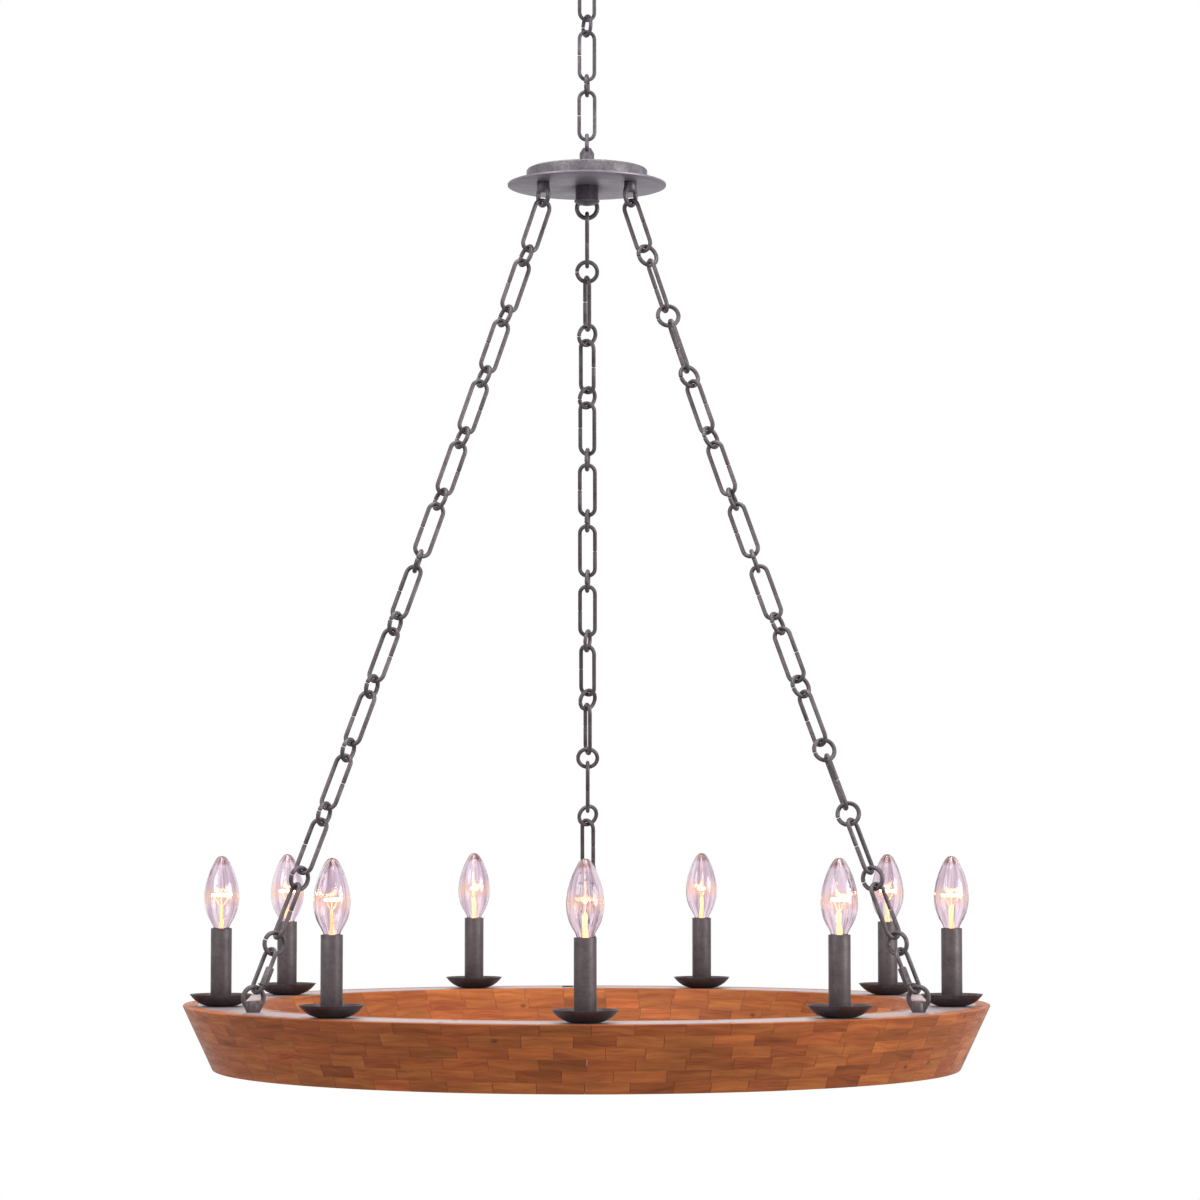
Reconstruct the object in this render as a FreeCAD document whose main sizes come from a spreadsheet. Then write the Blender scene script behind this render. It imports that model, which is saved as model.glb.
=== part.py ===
"""A tapered wooden ring with candle lamps, hung by three chains from a hub under a ceiling canopy.

Millimetres, +Z up. The origin is the centre of the ceiling plane, and everything hangs below it.
The sheet "sizes" holds the driving dimensions. A chain's length sets how far the ring hangs below
the hub, so the heights that follow from it are worked out here and written to the same sheet.
"""
import FreeCAD, Part
import math
import os
import Sketcher
from FreeCAD import Placement, Rotation, Vector

DOC = FreeCAD.newDocument("ring_light")
SHEET = DOC.addObject("Spreadsheet::Sheet", "sizes")
UP = Vector(0, 0, 1)
EAST = Vector(1, 0, 0)

SIZES = (
    # Ceiling end
    ("canopy_diameter", 130, "pan over the outlet box"),
    ("canopy_depth", 22, "ceiling to the pan's underside"),
    ("canopy_wall", 1.2, "sheet steel"),
    ("canopy_edge", 3, "bevel round the pan's lower edge"),
    ("crossbar_length", 112, "strap across the outlet box"),
    ("crossbar_width", 20, ""),
    ("crossbar_thickness", 2.5, ""),
    ("slot_spacing", 88.9, "between the slots' centres"),
    ("slot_length", 14, "end to end"),
    ("slot_width", 5, "clears an outlet box screw"),
    ("ground_screw_offset", 20, "from the strap's centre"),
    ("ground_screw_diameter", 4, ""),
    ("ground_screw_head", 8, "head diameter"),
    ("ground_screw_head_height", 2.4, ""),
    # Hollow threaded rods and their nuts
    ("stem_diameter", 10, "rods at the canopy and in the hub"),
    ("stem_bore", 6.5, "wire way"),
    ("stem_engagement", 8, "length screwed into a loop's collar"),
    ("stem_nut_flats", 14, ""),
    ("stem_nut_height", 4, ""),
    ("thread_clearance", 0.05, "all round, where one piece passes through another"),
    # Loop on a collar, used at the canopy and on the hub
    ("collar_diameter", 16, ""),
    ("collar_shoulder", 18, "height of its straight side"),
    ("collar_height", 24, "height of its cone's end"),
    ("collar_neck", 9, "diameter at the cone's end"),
    ("loop_diameter", 24, "outside"),
    ("loop_wire", 4.5, ""),
    ("loop_reach", 40, "seat to the far side of the loop"),
    ("collar_wire_hole", 6, "the wire's way out at the side"),
    ("collar_wire_height", 12, "height of that hole"),
    ("stem_wire_hole", 5, "the wire's way out inside the hub"),
    # Chains
    ("hang_clearance", 0.3, "between two bars that hang in each other"),
    ("chain_cut", 1, "open cut in every link and ring"),
    ("top_link_length", 57.5, "outside"),
    ("top_link_width", 21, "outside"),
    ("top_ring_diameter", 25.6, "outside"),
    ("top_chain_wire", 4.1, ""),
    ("side_link_length", 63.9, "outside"),
    ("side_link_width", 21.7, "outside"),
    ("side_ring_diameter", 27, "outside"),
    ("side_chain_wire", 4.6, ""),
    ("side_chain_bow", 2.65, "degrees that a side chain turns outward from top to bottom"),
    ("quick_link_length", 52, "outside"),
    ("quick_link_width", 20.5, "outside"),
    ("quick_link_gap", 6, "opening that the nut closes"),
    ("quick_nut_length", 20, ""),
    ("quick_nut_flats", 8, ""),
    ("quick_nut_travel", 10, "up the leg, to open the link"),
    # Eyebolts, used under the hub and on the ring
    ("eye_diameter", 27.3, "outside"),
    ("eye_wire", 5, ""),
    ("eye_height", 28.3, "seat to the far side of the eye"),
    ("eye_foot_diameter", 13.6, ""),
    ("eye_foot_shoulder", 9, "height of its straight side"),
    ("eye_foot_height", 11.5, ""),
    ("eye_foot_top", 11, "diameter of its flat top"),
    ("eye_web_thickness", 4.4, "the web that joins the foot to the eye"),
    ("eye_web_side", 7.6, "height where the web meets the outside of the eye"),
    ("eye_web_inset", 2.75, "from the outside of the eye to the web's corner there"),
    ("eye_shank_diameter", 6, ""),
    ("eye_shank_length", 14, "below the seat"),
    ("eye_nut_flats", 10, ""),
    ("eye_nut_height", 5, ""),
    ("eye_nut_flange", 14, "diameter"),
    ("eye_nut_flange_height", 1.2, ""),
    # Hub
    ("hub_disc_diameter", 173, ""),
    ("hub_disc_thickness", 2.2, ""),
    ("hub_drum_diameter", 132, ""),
    ("hub_drum_wall", 1.2, ""),
    ("hub_drum_edge", 1.5, "bevel round its top"),
    ("hub_height", 18, "disc underside to drum top"),
    ("hub_nut_clearance", 3.3, "between the eyes' nuts and the drum's wall"),
    ("finial_diameter", 24.8, ""),
    ("finial_length", 15.8, ""),
    ("finial_cap_diameter", 27.6, ""),
    ("finial_cap_rim", 1.4, "height of its straight edge"),
    ("finial_dome", 4, ""),
    ("finial_bore_depth", 12, ""),
    # Bushings for the supply wire
    ("bushing_hole", 9, ""),
    ("bushing_flange", 13, "diameter"),
    ("bushing_flange_height", 1.2, ""),
    ("bushing_bore", 6, ""),
    ("bushing_tail", 2, "beyond the plate"),
    ("hub_bushing_offset", 30, "from the hub's centre to the rear"),
    ("ring_bushing_offset", 24, "sideways from the rear eye"),
    # Wooden ring
    ("ring_diameter", 864, "across the outer top edge"),
    ("ring_taper", 32, "how far both walls lean in from top to bottom"),
    ("course_count", 6, "glued courses"),
    ("course_height", 11.4, ""),
    ("outer_rim", 15.5, "wood outside the band"),
    ("inner_rim", 13, "wood inside the band"),
    ("channel_ledge", 8, "wood under each edge of the band"),
    ("channel_courses", 3, "courses that the wiring channel is cut through"),
    # Steel band in the ring's top
    ("band_width", 48, ""),
    ("band_thickness", 3, ""),
    ("band_clearance", 0.3, "between the band and each rim"),
    ("screw_edge", 4, "from the band's edge to a screw's axis"),
    ("screw_diameter", 3.5, ""),
    ("screw_head", 6.6, ""),
    ("screw_head_height", 1.8, ""),
    ("screw_length", 20, ""),
    # Candles
    ("candle_count", 9, ""),
    ("saucer_diameter", 66, ""),
    ("saucer_height", 12.7, ""),
    ("saucer_foot", 25, "diameter of its flat bottom"),
    ("saucer_wall", 1.2, ""),
    ("sleeve_diameter", 22.2, ""),
    ("sleeve_wall", 1.2, ""),
    ("sleeve_top", 82.1, "above the band"),
    ("nipple_tail", 12, "below the band"),
    ("socket_diameter", 18.4, ""),
    ("socket_length", 50, ""),
    ("socket_drop", 8.5, "from the sleeve's top to the socket's"),
    ("socket_bore", 12.4, ""),
    ("socket_cavity", 19, "depth of the screw shell"),
    ("socket_wire_hole", 3.6, ""),
    # Bulbs
    ("bulb_diameter", 37.4, ""),
    ("bulb_height", 76.2, "above the sleeve"),
    ("bulb_neck", 16.8, "diameter at the sleeve's top"),
    ("bulb_glass", 0.8, "wall"),
    ("bulb_seat_gap", 0.3, "between the bulb's tip and the socket"),
    ("bulb_base_diameter", 11.7, "candelabra screw"),
    ("bulb_tip", 4.8, "diameter of the centre contact"),
    ("bulb_stem", 3, "glass rod inside"),
    ("bulb_stem_height", 30, "above the sleeve"),
    ("filament_height", 34, "above the sleeve"),
    ("filament_width", 20, ""),
    ("filament_arms", 16, "between the upper ends of the two arms"),
    ("filament_wire", 1.2, ""),
    # Wiring in the channel
    ("loom_diameter", 6, ""),
    ("loom_gap", 3, "from the channel's inner wall"),
    ("lead_diameter", 3, ""),
    ("lead_bend", 6, "radius where a lead turns up"),
)

CANDLE_START = -90
EYE_ANGLES = (210, 330, 90)
CHAINS = ("left", "right", "rear")

# How far each piece hangs turned about its chain: the direction of its flat face, in degrees from +X.
# Adding 180 brings the cut to the other leg. Neighbours differ by 60 to 120 degrees, or they would bind.
CANOPY_LOOP_TURN = 90
HUB_LOOP_TURN = 90
TOP_TURNS = (18, -67, 15, 84, 0)
LINK_TURNS = {
    "left": (206, 26, 26, 206, 206, 26, -26, 154, -26, 154, -26, 120),
    "right": (150, -75, -80, 139, 149, -22, -5, 158, -50, 95, 57, 220),
    "rear": (90, -74, 147, -22, -5, 175, -5, -29, -72, 90, 138, -20),
}
RING_TURNS = {
    "left": (-60, -60, -60, -60, -60, 90, 65, 65, 65, 65, 45, 30),
    "right": (33, 10, 36, 53, 73, 85, 60, 42, 20, -12, -31, -39),
    "rear": (0, 35, 41, 85, 85, 85, 76, 41, 0, 27, 50, 75),
}
QUICK_TURNS = {"left": 135, "right": 45, "rear": 0}

# The bulb's outline between neck and tip: shares of its height, and of its largest radius.
BULB_SHAPE = ((0.08, 0.58), (0.2, 0.86), (0.39, 1.0), (0.6, 0.92), (0.8, 0.66), (0.94, 0.34))

ROW = 0


def enter(name, number, note=""):
    """Gives a size its own line in the sheet."""
    global ROW
    ROW += 1
    SHEET.set(f"A{ROW}", name)
    SHEET.set(f"B{ROW}", str(number))
    SHEET.set(f"C{ROW}", note)
    SHEET.setAlias(f"B{ROW}", name)
    SHEET.recompute()


def value(text):
    """The number that a sum of sizes, such as "canopy_depth - canopy_wall / 2", comes to."""
    total = 0.0
    sign = 1.0
    product = 1.0
    divide = False
    for word in text.split() + ["+"]:
        if word in ("+", "-"):
            total += sign * product
            sign = 1.0 if word == "+" else -1.0
            product = 1.0
            divide = False
        elif word in ("*", "/"):
            divide = word == "/"
        else:
            number = SHEET.get(word) if word[0].isalpha() else float(word)
            product = product / number if divide else product * number
            divide = False
    return total


def bound(text):
    """The same sum as an expression on the sheet."""
    return " ".join("sizes." + word if word[0].isalpha() else word for word in text.split())


# Sketches and features ------------------------------------------------------------------------------

def new_body(name):
    body = DOC.addObject("PartDesign::Body", name)
    body.Label = name
    return body


def origin_part(body, role):
    return next(item for item in body.Origin.OriginFeatures if item.Role == role)


def new_sketch(body, plane, height=None):
    """A sketch on one of the body's own planes, or at a height above it."""
    sketch = body.newObject("Sketcher::SketchObject", body.Name + "_sketch")
    sketch.AttachmentSupport = [(origin_part(body, plane), "")]
    sketch.MapMode = "FlatFace"
    if height:
        sketch.AttachmentOffset = Placement(Vector(0, 0, value(height)), Rotation())
        sketch.setExpression(".AttachmentOffset.Base.z", bound(height))
    return sketch


def pin_down(sketch, edge, point, x, y):
    """Ties a point of the sketch to two sizes, measured from the sketch's origin."""
    for kind, text, axis in (("DistanceX", x, -2), ("DistanceY", y, -1)):
        if text == "0":
            sketch.addConstraint(Sketcher.Constraint("PointOnObject", edge, point, axis))
        else:
            index = sketch.addConstraint(Sketcher.Constraint(kind, -1, 1, edge, point, value(text)))
            sketch.setExpression(f"Constraints[{index}]", bound(text))


def add_edge(sketch, start, end, centre):
    """Adds a line, or the shorter arc round a centre. Returns it with its first and last point."""
    if centre is None:
        return sketch.addGeometry(Part.LineSegment(start, end)), 1, 2
    first = math.atan2(start.y - centre.y, start.x - centre.x)
    last = math.atan2(end.y - centre.y, end.x - centre.x)
    circle = Part.Circle(centre, UP, (start - centre).Length)
    anticlockwise = (last - first) % math.tau < math.pi - 1e-6
    if anticlockwise:
        return sketch.addGeometry(Part.ArcOfCircle(circle, first, last)), 1, 2
    return sketch.addGeometry(Part.ArcOfCircle(circle, last, first)), 2, 1


def draw(sketch, corners, closed=True):
    """Draws an outline through corners (x, y).

    A third entry makes the edge that arrives there an arc centred on the sketch's upright axis:
    "dome" where its ends set the centre's height, or else that height.
    """
    points = [Vector(value(corner[0]), value(corner[1]), 0) for corner in corners]
    edges = []
    for index in range(0 if closed else 1, len(corners)):
        start = points[index - 1]
        end = points[index]
        kind = corners[index][2] if len(corners[index]) > 2 else None
        centre = None
        if kind == "dome":
            rise = (end.y ** 2 + end.x ** 2 - start.y ** 2 - start.x ** 2) / (2 * (end.y - start.y))
            centre = Vector(0, rise, 0)
        elif kind:
            centre = Vector(0, value(kind), 0)
        edge = add_edge(sketch, start, end, centre)
        edges.append(edge)
        if kind == "dome":
            sketch.addConstraint(Sketcher.Constraint("PointOnObject", edge[0], 3, -2))
        elif kind:
            height = sketch.addConstraint(Sketcher.Constraint("DistanceY", -1, 1, edge[0], 3, centre.y))
            sketch.setExpression(f"Constraints[{height}]", bound(kind))
    arrivals = corners if closed else corners[1:]
    for index, (edge, corner) in enumerate(zip(edges, arrivals)):
        pin_down(sketch, edge[0], edge[2], corner[0], corner[1])
        if closed or index + 1 < len(edges):
            following = edges[(index + 1) % len(edges)]
            joint = Sketcher.Constraint("Coincident", edge[0], edge[2], following[0], following[1])
            sketch.addConstraint(joint)
    if not closed:
        pin_down(sketch, edges[0][0], edges[0][1], corners[0][0], corners[0][1])


def add_circle(sketch, x, y, radius):
    circle = sketch.addGeometry(Part.Circle(Vector(value(x), value(y), 0), UP, value(radius)))
    pin_down(sketch, circle, 3, x, y)
    size = sketch.addConstraint(Sketcher.Constraint("Radius", circle, value(radius)))
    sketch.setExpression(f"Constraints[{size}]", bound(radius))


def spin(body, sketch, angle="360"):
    """Turns a sketch about its upright axis, half to each side of its plane."""
    turned_form = body.newObject("PartDesign::Revolution", body.Name + "_turned")
    turned_form.Profile = sketch
    turned_form.ReferenceAxis = (sketch, ["V_Axis"])
    turned_form.Midplane = angle != "360"
    turned_form.Angle = value(angle)
    if angle != "360":
        turned_form.setExpression("Angle", bound(angle))
    sketch.Visibility = False
    return turned_form


def turned(name, corners, height=None):
    """A piece turned about Z from its half outline (radius, height)."""
    body = new_body(name)
    sketch = new_sketch(body, "XZ_Plane")
    draw(sketch, corners)
    spin(body, sketch)
    if height:
        lift(body, height)
    return body


def tube(name, outer, inner, low, high):
    """A turned tube between two heights; outer and inner are diameters."""
    outline = [(f"{inner} / 2", low), (f"{outer} / 2", low), (f"{outer} / 2", high), (f"{inner} / 2", high)]
    return turned(name, outline)


def pad(body, corners, thickness):
    """A flat web in the XZ plane, half its thickness to each side."""
    sketch = new_sketch(body, "XZ_Plane")
    draw(sketch, corners)
    web = body.newObject("PartDesign::Pad", body.Name + "_web")
    web.Profile = sketch
    web.Midplane = True
    web.Length = value(thickness)
    web.setExpression("Length", bound(thickness))
    sketch.Visibility = False


def drill(body, x, y, diameter, clearance=None, count=1):
    """Cuts a round hole through the body, repeated evenly about Z."""
    sketch = new_sketch(body, "XY_Plane")
    radius = f"{diameter} / 2 + {clearance}" if clearance else f"{diameter} / 2"
    add_circle(sketch, x, y, radius)
    hole = body.newObject("PartDesign::Pocket", body.Name + "_hole")
    hole.Profile = sketch
    hole.Type = "ThroughAll"
    hole.Midplane = True
    sketch.Visibility = False
    if count > 1:
        pattern = body.newObject("PartDesign::PolarPattern", body.Name + "_holes")
        pattern.Originals = [hole]
        pattern.Axis = (origin_part(body, "Z_Axis"), [""])
        pattern.Angle = 360
        pattern.Occurrences = count
        body.Tip = pattern


def side_hole(body, height, diameter):
    """Drills from the body's axis out at +X, at a height."""
    sketch = new_sketch(body, "YZ_Plane")
    add_circle(sketch, "0", height, f"{diameter} / 2")
    hole = body.newObject("PartDesign::Pocket", body.Name + "_side_hole")
    hole.Profile = sketch
    hole.Type = "ThroughAll"
    hole.Reversed = True
    sketch.Visibility = False


def lift(item, height):
    """Sets a piece at a height of the sheet."""
    item.Placement.Base = Vector(0, 0, value(height))
    item.setExpression(".Placement.Base.z", bound(height))


def primitive(kind, name, **sizes):
    """A Part primitive whose properties follow the sheet."""
    item = DOC.addObject("Part::" + kind, name)
    item.Label = name
    for prop, text in sizes.items():
        setattr(item, prop, value(text))
        item.setExpression(prop, bound(text))
    return item


def subtract(name, base, tool):
    cut = DOC.addObject("Part::Cut", name)
    cut.Label = name
    cut.Base = base
    cut.Tool = tool
    return cut


def join(name, shapes):
    fuse = DOC.addObject("Part::MultiFuse", name)
    fuse.Label = name
    fuse.Shapes = shapes
    return fuse


def solid(name, shape):
    """A piece whose shape is made directly."""
    item = DOC.addObject("Part::Feature", name)
    item.Label = name
    item.Shape = shape
    return item


def copies(name, pattern, places):
    """One node that holds a copy of a piece at each place."""
    shapes = []
    for place in places:
        shape = pattern.Shape.copy()
        shape.Placement = place.multiply(shape.Placement)
        shapes.append(shape)
    return solid(name, Part.makeCompound(shapes) if len(shapes) > 1 else shapes[0])


def hex_nut(name, flats, height, bore, clearance="thread_clearance"):
    prism = DOC.addObject("Part::Prism", name + "_hexagon")
    prism.Polygon = 6
    prism.setExpression("Circumradius", f"sizes.{flats} / sqrt(3)")
    prism.setExpression("Height", f"sizes.{height}")
    hole = primitive("Cylinder", name + "_bore", Radius=f"{bore} / 2 + {clearance}", Height=height)
    return subtract(name, prism, hole)


def polar(radius, angle, height, turn=0.0, tip=0.0):
    """A place on a circle about Z. Turn is added to the angle, and tip turns the piece over about X."""
    direction = math.radians(angle)
    base = Vector(radius * math.cos(direction), radius * math.sin(direction), height)
    return Placement(base, Rotation(UP, angle + turn).multiply(Rotation(EAST, tip)))


# Shared pieces ---------------------------------------------------------------------------------------

def make_link(name, length, width, wire):
    """A long link in the XZ plane, bent from wire, with its cut in the middle of the leg at -X."""
    body = new_body(name)
    half_width = f"{width} / 2 - {wire} / 2"
    half_straight = f"{length} / 2 - {width} / 2"
    left = f"{wire} / 2 - {width} / 2"
    low = f"{width} / 2 - {length} / 2"
    path = new_sketch(body, "XZ_Plane")
    corners = [
        (left, "chain_cut / 2"),
        (left, half_straight),
        (half_width, half_straight, half_straight),
        (half_width, low),
        (left, low, low),
        (left, "0 - chain_cut / 2"),
    ]
    draw(path, corners, closed=False)
    section = new_sketch(body, "XY_Plane", "chain_cut / 2")
    add_circle(section, left, "0", f"{wire} / 2")
    sweep(body, section, path)
    return body


def sweep(body, section, path):
    bent = body.newObject("PartDesign::AdditivePipe", body.Name + "_bent")
    bent.Profile = section
    bent.Spine = path
    section.Visibility = False
    path.Visibility = False
    return bent


def add_hoop(body, diameter, wire, height=None, angle="360"):
    """A hoop of wire in the XZ plane round a centre at a height. An angle under 360 opens it at -X."""
    sketch = new_sketch(body, "XY_Plane", height)
    add_circle(sketch, f"{diameter} / 2 - {wire} / 2", "0", f"{wire} / 2")
    spin(body, sketch, angle)


def make_chain_ring(name, diameter, wire, angle):
    body = new_body(name)
    add_hoop(body, diameter, wire, angle=angle)
    return body


def make_collar_loop(name):
    """A loop on a collar that screws onto a stem, with a hole at +X where the wire comes out.

    It stands on z = 0 with its loop above, in the XZ plane.
    """
    bore = "stem_diameter / 2 + thread_clearance"
    depth = "stem_engagement + hang_clearance"
    wire_way = "stem_bore / 2"
    end = "collar_wire_height + collar_wire_hole / 2"
    outline = [
        (bore, "0"),
        ("collar_diameter / 2", "0"),
        ("collar_diameter / 2", "collar_shoulder"),
        ("collar_neck / 2", "collar_height"),
        ("0", "collar_height"),
        ("0", end),
        (wire_way, end),
        (wire_way, depth),
        (bore, depth),
    ]
    body = turned(name, outline)
    add_hoop(body, "loop_diameter", "loop_wire", "loop_reach - loop_diameter / 2")
    side_hole(body, "collar_wire_height", "collar_wire_hole")
    return body


def make_eyebolt(name):
    """An eyebolt seated on z = 0 with its eye above, in the XZ plane, and its shank below."""
    foot = "eye_foot_diameter / 2"
    outline = [
        ("0", "0 - eye_shank_length"),
        ("eye_shank_diameter / 2", "0 - eye_shank_length"),
        ("eye_shank_diameter / 2", "0"),
        (foot, "0"),
        (foot, "eye_foot_shoulder"),
        ("eye_foot_top / 2", "eye_foot_height"),
        ("0", "eye_foot_height"),
    ]
    body = turned(name, outline)
    side = "eye_diameter / 2 - eye_web_inset"
    other_side = "eye_web_inset - eye_diameter / 2"
    pad(body, [
        ("0 - " + foot, "0"),
        (foot, "0"),
        (side, "eye_web_side"),
        (side, "eye_foot_height"),
        (other_side, "eye_foot_height"),
        (other_side, "eye_web_side"),
    ], "eye_web_thickness")
    add_hoop(body, "eye_diameter", "eye_wire", "eye_height - eye_diameter / 2")
    return body


def make_flange_nut(name):
    """A nut with its flange at z = 0."""
    nut = hex_nut(name + "_body", "eye_nut_flats", "eye_nut_height", "eye_shank_diameter")
    flange = primitive("Cylinder", name + "_flange", Radius="eye_nut_flange / 2", Height="eye_nut_flange_height")
    lift(nut, "eye_nut_flange_height")
    bore_radius = "eye_shank_diameter / 2 + thread_clearance"
    hole = primitive("Cylinder", name + "_flange_bore", Radius=bore_radius, Height="eye_nut_flange_height")
    return join(name, [nut, subtract(name + "_washer", flange, hole)])


def make_bushing(name, plate):
    """A snap bushing seated on z = 0 from above, with its neck through a plate of that thickness below."""
    outer = "bushing_hole / 2 - thread_clearance"
    outline = [
        ("bushing_bore / 2", f"0 - {plate} - bushing_tail"),
        (outer, f"0 - {plate} - bushing_tail"),
        (outer, "0"),
        ("bushing_flange / 2", "0"),
        ("bushing_flange / 2", "bushing_flange_height"),
        ("bushing_bore / 2", "bushing_flange_height"),
    ]
    return turned(name, outline)


# How the chains hang ---------------------------------------------------------------------------------

def hang_top_chain():
    """Enters the heights that the top chain gives, from the canopy loop down to the hub."""
    contact = value("top_chain_wire + hang_clearance")
    loop_contact = value("loop_wire / 2 + top_chain_wire / 2 + hang_clearance")
    spans = {"link": value("top_link_length - top_chain_wire"), "ring": value("top_ring_diameter - top_chain_wire")}
    bar = value("0 - canopy_depth - loop_reach + loop_wire / 2")
    enter("canopy_loop_bar", bar, "height of the canopy loop's lower bar")
    centres = []
    for index in range(len(TOP_TURNS)):
        span = spans["ring" if index % 2 else "link"]
        centre = bar + (contact if index else loop_contact) - span / 2
        centres.append(centre)
        bar = centre - span / 2
        enter(f"top_chain_bar_{index + 1}", bar, "height of this piece's lower bar")
    hub_top = bar + loop_contact + value("loop_wire / 2 - loop_reach")
    enter("hub_top", hub_top, "drum top")
    enter("hub_underside", hub_top - value("hub_height"), "disc underside")
    return centres


def side_chain_pieces():
    """The kind, bar-to-bar span and upper and lower half contact of each piece of a side chain."""
    half = value("side_chain_wire / 2 + hang_clearance / 2")
    eye_half = value("side_chain_wire / 4 + eye_wire / 4 + hang_clearance / 2")
    link = ("link", value("side_link_length - side_chain_wire"))
    ring = ("ring", value("side_ring_diameter - side_chain_wire"))
    quick = ("quick", value("quick_link_length - side_chain_wire"))
    kinds = [link, ring] * len(LINK_TURNS["left"]) + [quick]
    last = len(kinds) - 1
    return [
        (kind, span, eye_half if index == 0 else half, eye_half if index == last else half)
        for index, (kind, span) in enumerate(kinds)
    ]


def hang_side_chain():
    """The pieces of a side chain as (kind, distance out, depth, lean), measured from the hub eye's bar.

    The pieces follow one another on a shallow arc that steepens upward. Its mean lean is the one that
    spans from the hub eyes to the ring eyes, where the pull runs through each eye's centre.
    """
    pieces = side_chain_pieces()
    pitches = [span - above - below for kind, span, above, below in pieces]
    total = sum(pitches)
    bow = math.radians(value("side_chain_bow"))
    reach = (value("candle_circle") - value("hub_eye_circle")) / 2
    leans = []
    passed = 0.0
    for pitch in pitches:
        leans.append(bow * ((passed + pitch / 2) / total - 0.5))
        passed += pitch
    eye_radius = value("eye_diameter / 2 - eye_wire / 2")
    steps = list(pitches)
    steps[0] -= pieces[0][2]
    steps[-1] += eye_radius - pieces[-1][3]
    across = sum(step * math.cos(lean) for step, lean in zip(steps, leans))
    along = sum(step * math.sin(lean) for step, lean in zip(steps, leans))
    mean = math.asin(reach / math.hypot(across, along)) - math.atan2(along, across)
    leans = [mean + lean for lean in leans]
    out = -pieces[0][2] * math.sin(leans[0])
    depth = -pieces[0][2] * math.cos(leans[0])
    hung = []
    for (kind, span, above, below), pitch, lean in zip(pieces, pitches, leans):
        middle = span / 2 - above
        hung.append((kind, out + middle * math.sin(lean), depth + middle * math.cos(lean), lean))
        out += pitch * math.sin(lean)
        depth += pitch * math.cos(lean)
    drop = depth + (eye_radius - pieces[-1][3]) * math.cos(leans[-1])
    eye_bar = value("hub_underside - eye_height + eye_wire / 2")
    enter("ring_top", eye_bar - drop - value("eye_height - eye_diameter / 2"), "top of the wooden ring")
    return hung


def chain_place(azimuth, out, depth, lean, turn):
    """Where a piece of a side chain hangs: out from the hub eye, below its bar, leaning and turned."""
    radius = value("hub_eye_circle / 2") + out
    direction = math.radians(azimuth)
    height = value("hub_underside - eye_height + eye_wire / 2") - depth
    base = Vector(radius * math.cos(direction), radius * math.sin(direction), height)
    leaned = Rotation(UP, azimuth).multiply(Rotation(Vector(0, 1, 0), -math.degrees(lean)))
    return Placement(base, leaned.multiply(Rotation(UP, turn - azimuth)))


# Groups of pieces ------------------------------------------------------------------------------------

def make_ceiling_end():
    inner_side = "canopy_diameter / 2 - canopy_wall"
    inner_flat = "canopy_diameter / 2 - canopy_edge - canopy_wall / 2"
    hole = "stem_diameter / 2 + thread_clearance"
    canopy = turned("ceiling_canopy", [
        (hole, "0 - canopy_depth"),
        ("canopy_diameter / 2 - canopy_edge", "0 - canopy_depth"),
        ("canopy_diameter / 2", "canopy_edge - canopy_depth"),
        ("canopy_diameter / 2", "0"),
        (inner_side, "0"),
        (inner_side, "canopy_edge + canopy_wall / 2 - canopy_depth"),
        (inner_flat, "canopy_wall - canopy_depth"),
        (hole, "canopy_wall - canopy_depth"),
    ])
    stem = tube("canopy_stem", "stem_diameter", "stem_bore", "0 - canopy_depth - stem_engagement", "0")
    nut = hex_nut("crossbar_locknut", "stem_nut_flats", "stem_nut_height", "stem_diameter")
    lift(nut, "0 - crossbar_thickness - stem_nut_height")
    screw = turned("ground_screw", [
        ("0", "0 - crossbar_thickness - ground_screw_head_height"),
        ("ground_screw_head / 2", "0 - crossbar_thickness - ground_screw_head_height"),
        ("ground_screw_head / 2", "0 - crossbar_thickness"),
        ("ground_screw_diameter / 2", "0 - crossbar_thickness"),
        ("ground_screw_diameter / 2", "0 - hang_clearance"),
        ("0", "0 - hang_clearance"),
    ])
    screw.Placement.Base = Vector(value("ground_screw_offset"), 0, 0)
    screw.setExpression(".Placement.Base.x", bound("ground_screw_offset"))
    loop = make_collar_loop("canopy_loop")
    loop.Placement = polar(0, 0, value("0 - canopy_depth"), turn=CANOPY_LOOP_TURN, tip=180)
    return [make_crossbar(), nut, screw, stem, canopy, loop]


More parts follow.
